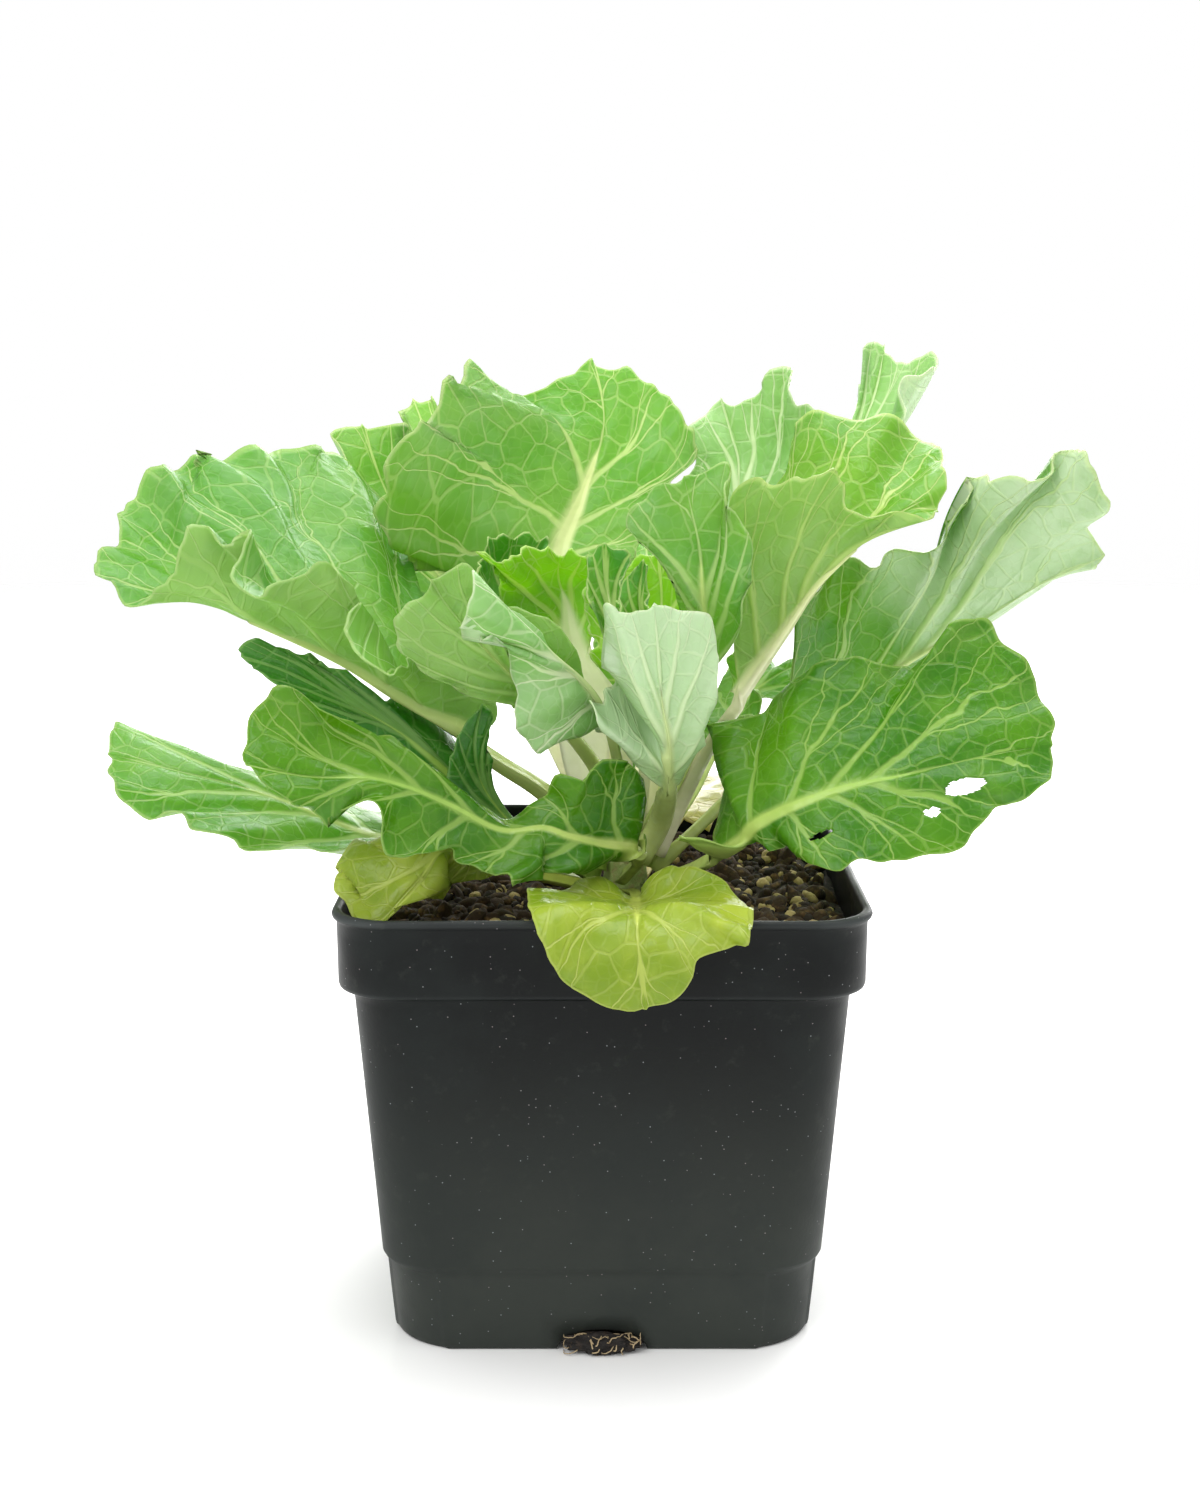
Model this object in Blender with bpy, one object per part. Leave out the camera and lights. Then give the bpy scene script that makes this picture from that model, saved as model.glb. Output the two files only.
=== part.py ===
"""Ornamental kale in a square nursery pot: pot, potting mix, root tuft, stem and one solid for each leaf.

Leaves are drawn in millimetres and written in metres. The pot stands on z = 0, centred on the origin.
"""
import math
import random

import bpy
import numpy as np
from mathutils import Vector

MM = 0.001

# pot
POT_HEIGHT = 111.1
LIP_HALF = 63.5
LIP_THICK = 1.6
BAND_HALF = 62.4
BAND_BOTTOM = 92.0
BODY_TOP_HALF = 60.0
FOOT_TOP = 20.5
FOOT_TOP_HALF = 53.0
BOTTOM_HALF = 51.4
CORNER_RADIUS = 14.0
FOOT_INSET = 1.7
WALL = 1.4
FLOOR = 1.8
NOTCH_HALF = 11.0
NOTCH_HEIGHT = 5.6
NOTCH_REACH = 8.0

# potting mix and stem
SOIL_TOP = 102.3
SOIL_RELIEF = 0.9
GAP = 0.35
STEM_X, STEM_Y = 6.0, -4.0
STEM_FOOT = 95.0
STEM_TOP = 117.8
STEM_RADIUS = 5.8
STEM_TOP_RADIUS = 5.0

# leaves
BLADE = 0.65
BLADE_COLUMNS = 3

for old in list(bpy.data.objects):
    bpy.data.objects.remove(old, do_unlink=True)


def material(name, hexcode, roughness):
    """Plain surface with an sRGB colour."""
    made = bpy.data.materials.new(name)
    made.use_nodes = True
    shader = made.node_tree.nodes["Principled BSDF"]
    rgb = [int(hexcode[k:k + 2], 16) / 255 for k in (0, 2, 4)]
    linear = [c / 12.92 if c <= 0.04045 else ((c + 0.055) / 1.055) ** 2.4 for c in rgb]
    shader.inputs["Base Color"].default_value = (*linear, 1.0)
    shader.inputs["Roughness"].default_value = roughness
    return made


PLASTIC = material("black pot plastic", "2a2f31", 0.45)
MIX = material("potting mix", "2b211a", 0.95)
ROOTS = material("fine roots and mix", "8a7558", 0.9)
STALK = material("kale stem", "b9c98a", 0.55)
GREEN = material("kale leaf", "6fae5e", 0.5)
YELLOW = material("old kale leaf", "b4c94c", 0.5)


def solid(name, points, faces, surface):
    """Mesh object from points in millimetres and evenly wound triangles, turned to face outwards."""
    points, faces = np.array(points, float), np.array(faces)
    corners = points[faces]
    if np.einsum("ij,ij->i", corners[:, 0], np.cross(corners[:, 1], corners[:, 2])).sum() < 0:
        faces = faces[:, ::-1]
    mesh = bpy.data.meshes.new(name)
    mesh.from_pydata((points * MM).tolist(), [], faces.tolist())
    mesh.materials.append(surface)
    made = bpy.data.objects.new(name, mesh)
    bpy.context.scene.collection.objects.link(made)
    return made


def cut(target, cutter, operation="DIFFERENCE"):
    """Live boolean; the second object is kept only as a hidden tool."""
    step = target.modifiers.new(operation.lower(), "BOOLEAN")
    step.operation = operation
    step.solver = "EXACT"
    step.object = cutter
    cutter.hide_render = True
    cutter.display_type = "WIRE"


def square_ring(half, radius, z, inset=0.0, per_corner=7):
    """Rounded square, with the corners alone pulled in by inset."""
    ring = []
    for corner in range(4):
        turn = corner * math.pi / 2
        for k in range(per_corner):
            a = turn + (math.pi / 2) * k / (per_corner - 1)
            fade = math.sin(math.pi * k / (per_corner - 1)) ** 0.5
            cx = (half - radius) * (1 if math.cos(turn + math.pi / 4) > 0 else -1)
            cy = (half - radius) * (1 if math.sin(turn + math.pi / 4) > 0 else -1)
            r = radius - inset * fade
            ring.append((cx + r * math.cos(a), cy + r * math.sin(a), z))
    return ring


def loft(name, rings, surface):
    """Closed solid through a run of equal rings, capped at both ends."""
    count = len(rings[0])
    points = [p for ring in rings for p in ring]
    faces = []
    for level in range(len(rings) - 1):
        a, b = level * count, (level + 1) * count
        for k in range(count):
            n = (k + 1) % count
            faces += [(a + k, a + n, b + n), (a + k, b + n, b + k)]
    for base, ring, step in ((0, rings[0], -1), (len(points) - count, rings[-1], 1)):
        points.append(tuple(sum(c) / count for c in zip(*ring)))
        middle = len(points) - 1
        faces += [(base + k, base + (k + step) % count, middle) for k in range(count)]
    return solid(name, points, faces, surface)


def make_pot():
    """Moulded pot: stepped feet, tapered walls, shoulder, rim band and a thin lip."""
    r = CORNER_RADIUS
    outer = [
        square_ring(BOTTOM_HALF - 2.6, r - 2.6, 0.0, FOOT_INSET),
        square_ring(BOTTOM_HALF - 0.7, r - 0.7, 0.9, FOOT_INSET),
        square_ring(BOTTOM_HALF, r, 2.8, FOOT_INSET),
        square_ring(FOOT_TOP_HALF - 0.1, r, FOOT_TOP - 1.0, FOOT_INSET),
        square_ring(FOOT_TOP_HALF, r, FOOT_TOP + 0.8, 0.0),
        square_ring(BODY_TOP_HALF, r, BAND_BOTTOM - 1.6),
        square_ring(BODY_TOP_HALF + 1.4, r + 0.6, BAND_BOTTOM - 0.6),
        square_ring(BAND_HALF - 0.2, r + 1.0, BAND_BOTTOM + 1.2),
        square_ring(BAND_HALF, r + 1.0, POT_HEIGHT - 2.6),
        square_ring(LIP_HALF, r + 2.0, POT_HEIGHT - LIP_THICK),
        square_ring(LIP_HALF, r + 2.0, POT_HEIGHT - 0.4),
        square_ring(LIP_HALF - 0.5, r + 1.6, POT_HEIGHT),
    ]
    inner = [
        square_ring(BAND_HALF - WALL - 0.4, r, POT_HEIGHT),
        square_ring(BAND_HALF - WALL - 0.8, r - 0.2, POT_HEIGHT - 1.0),
        square_ring(BAND_HALF - WALL - 0.8, r - 0.2, BAND_BOTTOM + 2.4),
        square_ring(BODY_TOP_HALF - WALL, r - WALL, BAND_BOTTOM - 1.0),
        square_ring(FOOT_TOP_HALF - WALL, r - WALL, FOOT_TOP + 1.6),
        square_ring(FOOT_TOP_HALF - WALL - 0.1, r - WALL, FOOT_TOP - 0.4, FOOT_INSET),
        square_ring(BOTTOM_HALF - WALL, r - WALL, FLOOR + 1.2, FOOT_INSET),
        square_ring(BOTTOM_HALF - WALL - 1.6, r - WALL - 1.6, FLOOR, FOOT_INSET),
    ]
    pot = loft("pot", outer + inner, PLASTIC)
    for side in range(4):
        a = side * math.pi / 2
        bpy.ops.mesh.primitive_cylinder_add(vertices=24, radius=NOTCH_HALF * MM, depth=2 * NOTCH_REACH * MM)
        notch = bpy.context.object
        notch.name = f"notch tool {side}"
        notch.scale = (1.0, NOTCH_HEIGHT / NOTCH_HALF, 1.0)
        notch.rotation_euler = (math.pi / 2, 0.0, a)
        notch.location = (BOTTOM_HALF * math.sin(a) * MM, -BOTTOM_HALF * math.cos(a) * MM, -0.01 * MM)
        cut(pot, notch)
    return pot


def make_soil():
    """Block of mix that follows the inside of the pot, with a lumpy top and a plain hole for the stem."""
    r = CORNER_RADIUS
    chance = random.Random(4)
    top_half = BAND_HALF - WALL - 0.8 - GAP
    rings = [
        square_ring(BOTTOM_HALF - WALL - 3.0, r - WALL - 3.0, FLOOR + GAP, FOOT_INSET),
        square_ring(BOTTOM_HALF - WALL - GAP, r - WALL, FLOOR + 2.4, FOOT_INSET),
        square_ring(FOOT_TOP_HALF - WALL - GAP - 0.3, r - WALL, FOOT_TOP - 1.0, FOOT_INSET),
        square_ring(FOOT_TOP_HALF - WALL - GAP, r - WALL, FOOT_TOP + 3.4),
        square_ring(BODY_TOP_HALF - WALL - GAP - 0.2, r - WALL, BAND_BOTTOM - 1.6),
        square_ring(top_half, r - 0.6, BAND_BOTTOM + 3.2),
        square_ring(top_half, r - 0.6, SOIL_TOP - 1.4),
    ]
    for share in (0.93, 0.82, 0.71, 0.6, 0.49, 0.38, 0.28):
        ring = square_ring(top_half * share, (r - 0.6) * share, SOIL_TOP)
        rings.append([(x, y, z + chance.uniform(-SOIL_RELIEF, SOIL_RELIEF)) for x, y, z in ring])
    soil = loft("soil", rings, MIX)
    bpy.ops.mesh.primitive_cylinder_add(vertices=24, radius=(STEM_RADIUS + GAP) * MM, depth=30 * MM,
                                        location=(STEM_X * MM, STEM_Y * MM, (STEM_FOOT - GAP + 15) * MM))
    cut(soil, bpy.context.object)
    return soil


def make_stem():
    """Short crown, a little knobbly where stalks have come away."""
    rings = []
    for z, radius in ((STEM_FOOT, 5.2), (STEM_FOOT + 2, STEM_RADIUS), (104.0, STEM_RADIUS), (110.0, 5.7),
                      (114.0, 5.4), (STEM_TOP - 1.2, STEM_TOP_RADIUS), (STEM_TOP, STEM_TOP_RADIUS - 1.3)):
        rings.append([(STEM_X + radius * math.cos(a), STEM_Y + radius * math.sin(a), z)
                      for a in (2 * math.pi * k / 24 for k in range(24))])
    return loft("stem", rings, STALK)


def make_roots():
    """Clod held by fine roots, squeezed out through the front notch."""
    chance = random.Random(11)
    bpy.ops.mesh.primitive_ico_sphere_add(subdivisions=3, radius=1.0)
    clod = bpy.context.object
    clod.name = "root_tuft"
    clod.data.materials.append(ROOTS)
    for v in clod.data.vertices:
        swell = 1.0 + chance.uniform(-0.12, 0.08)
        v.co = Vector((v.co.x * 8.2 * swell, v.co.y * 2.1 * swell - 52.9, v.co.z * 2.1 * swell + 2.55)) * MM
    for k in range(7):
        x = -7.0 + 2.2 * k
        curve = bpy.data.curves.new(f"root {k}", "CURVE")
        curve.dimensions = "3D"
        curve.bevel_depth = 0.3 * MM
        curve.bevel_resolution = 1
        curve.use_fill_caps = True
        line = curve.splines.new("POLY")
        line.points.add(4)
        bend = chance.uniform(-1.4, 1.4)
        for i, point in enumerate(line.points):
            t = i / 4
            point.co = ((x + bend * t * t * 3 + t * (x * 0.35)) * MM, (-53.4 - 3.6 * t) * MM,
                        max(0.6, 2.6 - 1.5 * t + 1.0 * math.sin(3 * t + k)) * MM, 1.0)
            point.radius = 1.0 - 0.5 * t
        rope = bpy.data.objects.new(f"root {k}", curve)
        bpy.context.scene.collection.objects.link(rope)
        bpy.context.view_layer.update()
        strand = bpy.data.objects.new(f"root strand {k}", bpy.data.meshes.new_from_object(rope))
        bpy.context.scene.collection.objects.link(strand)
        bpy.data.objects.remove(rope, do_unlink=True)
        cut(clod, strand, "UNION")
    return clod


def along(values, u):
    """Smooth curve through evenly spaced values, read at u from 0 to 1."""
    v = np.asarray(values, float)
    n = len(v) - 1
    x = np.clip(np.asarray(u, float), 0.0, 1.0) * n
    i = np.minimum(x.astype(int), n - 1)
    f = x - i
    if v.ndim > 1:
        f = f[..., None]
    a, b, c, d = v[np.maximum(i - 1, 0)], v[i], v[i + 1], v[np.minimum(i + 2, n)]
    return b + 0.5 * f * (c - a + f * (2 * a - 5 * b + 4 * c - d + f * (3 * (b - c) + d - a)))


class Leaf:
    """One leaf, laid out flat as a fan of lines from the rib to the margin and then bent into place.

    rib: points from the stem to the tip. face: where the upper side looks, from stem to tip.
    stalk: bare length before the blade. width, thick: half width and depth of the rib at the stem, at the
    foot of the blade and at the tip. The margin lists run from the left foot of the blade over the tip to
    the right foot, evenly spaced: reach (length of the fan line), lean (degrees from straight ahead), wave
    (lift of the margin off the blade), fold (degrees the blade rises from the rib) and curl (more turn
    towards the margin).
    """

    def __init__(self, rib, face, stalk, width, thick, fork, fold, curl, reach, lean, wave):
        drawn = along(rib, np.linspace(0, 1, 241))
        run = np.concatenate([[0], np.cumsum(np.linalg.norm(np.diff(drawn, axis=0), axis=1))])
        self.length = run[-1]
        self.run = np.linspace(0, self.length, 241)
        self.path = np.stack([np.interp(self.run, run, drawn[:, k]) for k in range(3)], 1)
        self.ahead = np.gradient(self.path, self.run, axis=0)
        self.ahead /= np.linalg.norm(self.ahead, axis=1)[:, None]
        up = along(face, self.run / self.length)
        up -= (up * self.ahead).sum(1)[:, None] * self.ahead
        self.up = up / np.linalg.norm(up, axis=1)[:, None]
        self.stalk, self.width, self.thick = stalk, width, thick
        self.last = stalk + fork * (self.length - stalk)
        self.fold, self.curl, self.reach, self.lean, self.wave = fold, curl, reach, lean, wave

    def frame(self, a):
        """Point of the rib at length a, with the directions ahead, up and to the right."""
        held = np.clip(a, 0, self.length)
        p, t, n = (np.stack([np.interp(held, self.run, table[:, k]) for k in range(3)], -1)
                   for table in (self.path, self.ahead, self.up))
        t /= np.linalg.norm(t, axis=-1)[..., None]
        n -= (n * t).sum(-1)[..., None] * t
        n /= np.linalg.norm(n, axis=-1)[..., None]
        return p + (a - held)[..., None] * t, t, n, np.cross(t, n)

    def taper(self, a, sizes):
        """Size of the rib at length a."""
        at_stem, at_blade, at_tip = sizes
        x = np.clip((a - self.stalk) / (self.length - self.stalk), 0, 1)
        stalk = at_stem + (at_blade - at_stem) * np.clip(a / self.stalk, 0, 1)
        return np.where(a < self.stalk, stalk, at_tip + (at_blade - at_tip) * (1 - x) ** 1.4)

    def flat(self, u, r):
        """Length along the rib, distance from it, reach of the fan line and where the line starts."""
        around = (u + 1) / 2
        reach = along(self.reach, around)
        lean = np.radians(along(self.lean, around))
        start = self.stalk + (1 - np.abs(u)) * (self.last - self.stalk)
        return start + r * reach * np.cos(lean), r * reach * np.sin(lean), reach, start

    def place(self, u, r):
        """Point of the upper side: u is -1 at the left foot, 0 at the tip, 1 at the right foot."""
        a, b, reach, start = self.flat(u, r)
        p, t, n, right = self.frame(a)
        around = (u + 1) / 2
        hand = np.where(u < 0, -1.0, 1.0)[..., None]
        fold = np.radians(along(self.fold, around))
        turn = np.radians(along(self.curl, around)) / np.maximum(reach, 1)
        turn = np.where(np.abs(turn) < 1e-5, 1e-5, turn)
        end = fold + turn * b
        out = ((np.sin(end) - np.sin(fold)) / turn)[..., None]
        rise = ((np.cos(fold) - np.cos(end)) / turn)[..., None]
        lift = (along(self.wave, around) * r ** 2.2)[..., None]
        own_up = np.cos(end)[..., None] * n - hand * np.sin(end)[..., None] * right
        return p + hand * out * right + rise * n + lift * own_up

    def mesh(self, rows, columns, blade, rib_columns=1, stalk_rings=5):
        """Closed solid: both sides share their diagonals, the rib stands proud underneath, the stalk is a rod."""
        grid, spots = {}, []
        across = rib_columns + columns
        for i, u in enumerate(np.linspace(-1, 1, 2 * rows + 1)):
            reach, start = (float(v) for v in self.flat(np.array(u), np.array(0.0))[2:])
            edge = float(self.taper(np.array(start), self.width)) / reach
            shares = [edge * k / rib_columns for k in range(rib_columns + 1)]
            shares += [edge + (1 - edge) * k / columns for k in range(1, columns + 1)]
            for j, r in enumerate(shares):
                if j == 0 and i > rows:
                    grid[i, 0] = grid[2 * rows - i, 0]
                    continue
                grid[i, j] = len(spots)
                spots.append((u, r))
        u, r = np.array(spots).T
        upper = self.place(u, r)
        h = 0.004
        skin = np.cross(self.place(np.clip(u + h, -1, 1), r) - self.place(np.clip(u - h, -1, 1), r),
                        self.place(u, r + h) - self.place(u, np.maximum(r - h, 0)))
        skin /= np.maximum(np.linalg.norm(skin, axis=1), 1e-9)[:, None]
        a, b, reach, start = self.flat(u, r)
        n = self.frame(a)[2]
        skin *= np.sign(np.median((skin * n).sum(1)))
        skin[r < 1e-9] = n[r < 1e-9]
        off_rib = np.clip(r * reach / self.taper(start, self.width), 0, 1)
        depth = blade + np.maximum(self.taper(a, self.thick) - blade, 0) * (1 - off_rib)
        under = len(upper)
        points = list(upper) + list(upper - skin * depth[:, None])
        faces = []

        def strip(p, q):
            faces.extend([(q, p, under + p), (q, under + p, under + q)])

        for i in range(2 * rows):
            for j in range(across):
                p, q, s, t = grid[i, j], grid[i, j + 1], grid[i + 1, j + 1], grid[i + 1, j]
                for f in ((p, q, s), (p, s, t)):
                    if len(set(f)) == 3:
                        faces.extend([f, tuple(under + v for v in reversed(f))])
            strip(grid[i, across], grid[i + 1, across])
        for j in range(rib_columns, across):
            strip(grid[0, j], grid[0, j + 1])
            strip(grid[2 * rows, j + 1], grid[2 * rows, j])

        ring = [grid[0, j] for j in range(rib_columns, 0, -1)] + [grid[0, 0]]
        ring += [grid[2 * rows, j] for j in range(1, rib_columns + 1)]
        ring += [under + v for v in reversed(ring)]
        spread = [k / rib_columns - 1 for k in range(2 * rib_columns + 1)]
        for a in np.linspace(self.stalk, 0, stalk_rings + 1)[1:]:
            p, t, n, right = (v[0] for v in self.frame(np.array([a])))
            wide, deep = (float(self.taper(np.array(a), s)) for s in (self.width, self.thick))
            fresh = []
            for s in spread:
                fresh.append(len(points))
                points.append(p + right * s * wide - n * 0.12 * deep * (1 - s * s))
            for s in reversed(spread):
                fresh.append(len(points))
                points.append(p + right * s * wide * 0.86 - n * deep * (0.45 + 0.55 * math.sqrt(1 - s * s)))
            for k in range(len(ring)):
                m = (k + 1) % len(ring)
                faces.extend([(ring[k], ring[m], fresh[m]), (ring[k], fresh[m], fresh[k])])
            ring = fresh
        points.append(p - n * deep * 0.5)
        faces.extend((ring[k], ring[(k + 1) % len(ring)], len(points) - 1) for k in range(len(ring)))
        return points, faces


LEAVES = {
    "leaf_back_centre": dict(
        rib=[(6.3, 3.5, 115), (-3, 20, 151), (-11, 30, 181), (-6, 38, 198), (0, 45, 215), (0, 50, 226), (-3,
        54, 237)], face=[(0, -1, 0.15), (0, -1, 0.3), (0, -1, 0.2)], stalk=64, width=(2.6, 3.4, 0.5),
        thick=(3.4, 2.6, 0.8), fork=0.62, fold=[-5, 15, 20, 0, 10, 10, 10], curl=[0, 20, 15, 0, 0, 10, 0],
        reach=[25.2, 32.2, 41.1, 50.9, 50.1, 54.7, 51.4, 49.1, 56.9, 52, 40.8, 29, 27.3, 26.5, 28.6, 30.9,
        32.9, 34.8, 36.6, 34.8, 31.4, 26.7, 25.5, 19.8, 14.2], lean=[69, 78, 85, 87, 90, 92, 91, 78, 42, 40,
        40, 30, -1, 10, 22, 29, 37, 41, 43, 44, 46, 49, 52, 69, 72], wave=[4.1, -0.1, -1, -0.2, -0.1, -0.7,
        -0.9, -0.1, 0.6, 2.2, -2.7, -0.5, -0.1, 0, 0, 0, -0.1, -0.9, -0.6, 1.5, 1.8, 0.5, 0.6, -0.6, 1.1]),
    "leaf_left_upper": dict(
        rib=[(-0.6, -3.8, 113), (-12, -7, 129), (-25, -12, 139), (-39, -16, 149), (-51, -19, 157), (-62,
        -22, 165), (-73, -24, 171), (-84, -26, 176), (-96, -27, 181), (-108, -27, 183), (-120, -26, 186)],
        face=[(0, -0.25, 1), (0, -0.15, 1), (0, -0.1, 1)], stalk=46, width=(4, 3.4, 0.6), thick=(4.6, 3.2,
        0.8), fork=0.62, fold=[80, 62, 44, 0, 38, 30, 24], curl=[10, 15, 10, 0, -8, -5, 0], reach=[2, 9.4,
        13, 18.9, 26, 30.4, 30.3, 28, 34, 36.5, 34.8, 35, 39, 35.8, 35.8, 34.2, 33, 29.7, 30.9, 33.1, 38.2,
        43.3, 46.5, 55.7, 60.7, 64.1, 65.7, 69.8, 71.8, 75.6, 71.7, 72.6, 75.8, 79.8, 80, 83.1, 75.9, 65.6,
        51.7, 38.9, 24.8], lean=[102, 99, 59, 43, 35, 35, 37, 38, 38, 37, 35, 33, 32, 31, 29, 26, 23, 18,
        12, 9, 0, 9, 17, 25, 28, 31, 33, 35, 36, 39, 43, 45, 48, 53, 60, 63, 65, 68, 72, 78, 88], wave=[0.7,
        4.1, 3, -4.4, -21.9, -19, -6.4, 4.4, 3.9, -1.6, -7.3, -11.6, -6.4, 7.3, 7.1, 12.6, 11.3, 2.8, 0.7,
        -3.4, -0.3, 3.4, 4.6, 5, 5, 5.2, 5.7, 2.2, -1.8, -1, 1.8, -1.4, -2, -1.3, 1.3, 2.5, -3.1, -3.7,
        -4.9, -6.8, -6.4]),
    "leaf_left_outer": dict(
        rib=[(-0.5, -2.6, 106.3), (-21, 0, 110), (-39, 2, 112), (-62, 3, 117), (-85, 4, 126), (-108, 5,
        132), (-128, 6, 137)], face=[(0, -0.3, 1), (0, -0.3, 1), (0, -0.35, 1)], stalk=40, width=(2.6, 2,
        0.5), thick=(3, 2.2, 0.75), fork=0.62, fold=[-8, -12, -12, 0, 6, 6, 6], curl=[-20, -20, -10, 0, 0,
        0, 0], reach=[30.2, 30.4, 32.2, 35.8, 37.9, 39.5, 36.6, 38.2, 39.5, 37.7, 35, 43.4, 48.8, 44.2, 38,
        32.7, 29.4, 28, 29.8, 31.5, 32.1], lean=[45, 43, 40, 38, 34, 31, 28, 25, 21, 12, 0, 12, 17, 20, 24,
        31, 37, 46, 51, 55, 58], wave=[19.9, 16.7, 10.1, 5.1, 8.3, 6.4, 5, -0.2, 0.1, -0.3, 0.1, 0.7, -0.7,
        -4.1, -7.1, -9.8, -12.1, -12.5, -12.7, -12.8, -13.3]),
    "leaf_left_front": dict(
        rib=[(4.1, -11.6, 108.8), (9, -28, 119), (0, -36, 123), (-8, -40, 126), (-14, -40, 128), (-24, -42,
        128), (-35, -44, 134), (-45, -47, 139), (-54, -50, 142), (-67, -54, 143), (-81, -56, 146)],
        face=[(-0.1, -0.7, 0.7), (-0.1, -0.75, 0.65), (-0.2, -0.8, 0.6), (-0.3, -0.8, 0.55)], stalk=15,
        width=(2, 1.5, 0.5), thick=(3, 2.2, 0.75), fork=0.85, fold=[0, 0, 0, 0, 0, 20, 50], curl=[0, 0, 0,
        0, 0, 0, 0], reach=[12.3, 2, 2, 6.7, 13.3, 17.4, 21.3, 18.1, 15.4, 15.1, 13, 18.8, 22.6, 20.5, 16.4,
        15.8, 16.1, 16.2, 16.8, 17, 15.9, 22.8, 28.5, 33.7, 35.7, 33.2, 24.1, 21.6, 21.3, 19.6, 15.8, 12,
        8.9, 8.8, 10.8, 14, 18.9, 21, 20.2, 9, 4], lean=[123, 120, 52, 49, 49, 48, 46, 47, 48, 49, 50, 52,
        51, 46, 33, 31, 30, 26, 22, 13, 1, 12, 22, 29, 32, 33, 32, 30, 28, 25, 23, 22, 24, 26, 29, 38, 45,
        63, 74, 95, 100], wave=[-0.7, 1.6, -4.9, -4.7, -1.1, -3.1, 4.1, 0.5, 1, 0.2, 0.3, 1.4, 1.1, 0.5,
        2.1, 2, -5.7, -1.3, -0.5, -0.2, 0, 0.2, 0.4, 1.3, 4.3, 5.1, 5.5, 0.9, 1.3, -1.2, -7.2, -10, -7.6,
        -5.6, -1.5, -0.3, 0, -0.7, -0.7, -0.1, 0]),
    "leaf_left_shaded": dict(
        rib=[(-0.4, -7, 107.5), (-11, -9, 114), (-27, -16, 125), (-37, -21, 137), (-49, -25, 148), (-63,
        -29, 157), (-75, -32, 164), (-85, -34, 168)], face=[(0, -0.6, 0.8), (0, -0.9, 0.5), (0, -0.9, 0.4)],
        stalk=32, width=(2.4, 1.8, 0.5), thick=(3, 2.2, 0.75), fork=0.62, fold=[0, 0, 0, 0, 15, 15, 10],
        curl=[0, 0, 0, 0, 0, 0, 0], reach=[6, 8, 10, 12, 12, 12, 12, 12, 29.2, 28.2, 29.2, 29.3, 29.2, 34,
        36.7, 36.5, 35.5, 37, 36.5, 36.1, 35.3, 26.8, 3, 7.1, 10.1], lean=[110, 101, 92, 82, 73, 64, 55, 46,
        11, 9, 6, 4, -3, 2, 7, 7, 8, 9, 8, 9, 9, 10, 72, 76, 86], wave=[0, 0, 0, 0, 0, 0, 0.1, 0.4, 2.5,
        1.7, 1, -1.6, -0.4, 0, 3.1, 0.1, 0.1, -0.4, 1.3, 0.5, -1.4, -8.9, -45, -33.9, -26.2]),
    "leaf_left_small": dict(
        rib=[(1.4, -8.7, 110.8), (-17, -19, 120), (-28, -22, 132), (-31, -25, 144), (-29, -26, 155)],
        face=[(0.3, -0.8, 0.3), (0.3, -0.8, 0.3), (0.3, -0.8, 0.3)], stalk=18, width=(1.6, 1.2, 0.5),
        thick=(2.2, 1.6, 0.75), fork=0.62, fold=[8, 8, 0, 15, 15], curl=[10, 10, 0, 20, 20], reach=[25.8,
        24.6, 21.3, 18.6, 17.2, 22.9, 24, 23.4, 21.8], lean=[18, 17, 15, 11, 1, 7, 8, 7, 5], wave=[2.5,
        -1.3, -0.7, -0.1, 0.1, 0.5, 0.3, -0.2, -1.6]),
    "leaf_heart_back": dict(
        rib=[(6.4, -1.6, 120.1), (-3, 0, 131), (-5, 6, 151), (-8, 10, 166), (-9, 12, 174), (-11, 10, 181),
        (-11, 4, 186)], face=[(0, -1, 0), (0, -1, 0), (0, -1, 0)], stalk=40, width=(3.4, 8.5, 1.2),
        thick=(3.6, 3, 0.8), fork=0.62, fold=[30, 30, 25, 0, 4, 0, 0], curl=[20, 20, 20, 0, 0, 0, 0],
        reach=[23.7, 38.7, 51.3, 40.9, 32.3, 24.9, 13.9, 22.6, 26.3, 25.2, 25.2, 17.8, 17.3], lean=[42, 25,
        24, 21, 18, 11, 0, 9, 14, 21, 25, 26, 26], wave=[2.2, -0.7, -0.2, -0.3, -0.3, -0.2, -0.1, -0.2,
        -0.3, 0, 2.8, 0.9, 2.3]),
    "leaf_left_folded": dict(
        rib=[(3.7, -8.7, 118.2), (6, -12, 132), (0, -27, 156), (-12, -43, 171), (-22, -48, 182), (-29, -50,
        191)], face=[(0.5, -0.2, 0.8), (0.5, -0.2, 0.6), (0.5, -0.2, 0.6)], stalk=34, width=(2.2, 1.6, 0.5),
        thick=(3, 2.2, 0.75), fork=0.62, fold=[-60, -65, -60, 0, -50, -55, -50], curl=[-10, -10, 0, 0, -20,
        -30, -20], reach=[2, 6.4, 14.7, 20.3, 21.6, 20.3, 16.6, 19.8, 23.8, 20.4, 23, 23.8, 23.8, 5, 5, 5,
        5, 5, 5, 5, 5, 5, 5, 5, 5], lean=[101, 98, 92, 85, 71, 57, 41, 22, 20, 19, 16, 11, 0, 9, 19, 28, 37,
        47, 56, 65, 75, 84, 93, 103, 112], wave=[-9, -4.9, -2.1, 0.1, -3.6, -5.6, -7, -4.5, -0.8, -12, -8.2,
        -2.6, -0.1, 0, 0, 0, 0, 0, 0, 0, 0, 0, 0, 0, 0]),
    "leaf_left_backlit": dict(
        rib=[(1.2, -4.7, 119.2), (-1, -9, 135), (-14, -22, 154), (-27, -33, 169), (-36, -36, 180), (-40,
        -36, 187)], face=[(0, 1, 0), (0, 1, 0), (0, 1, 0)], stalk=40, width=(2.2, 1.6, 0.5), thick=(3, 2.2,
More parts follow.
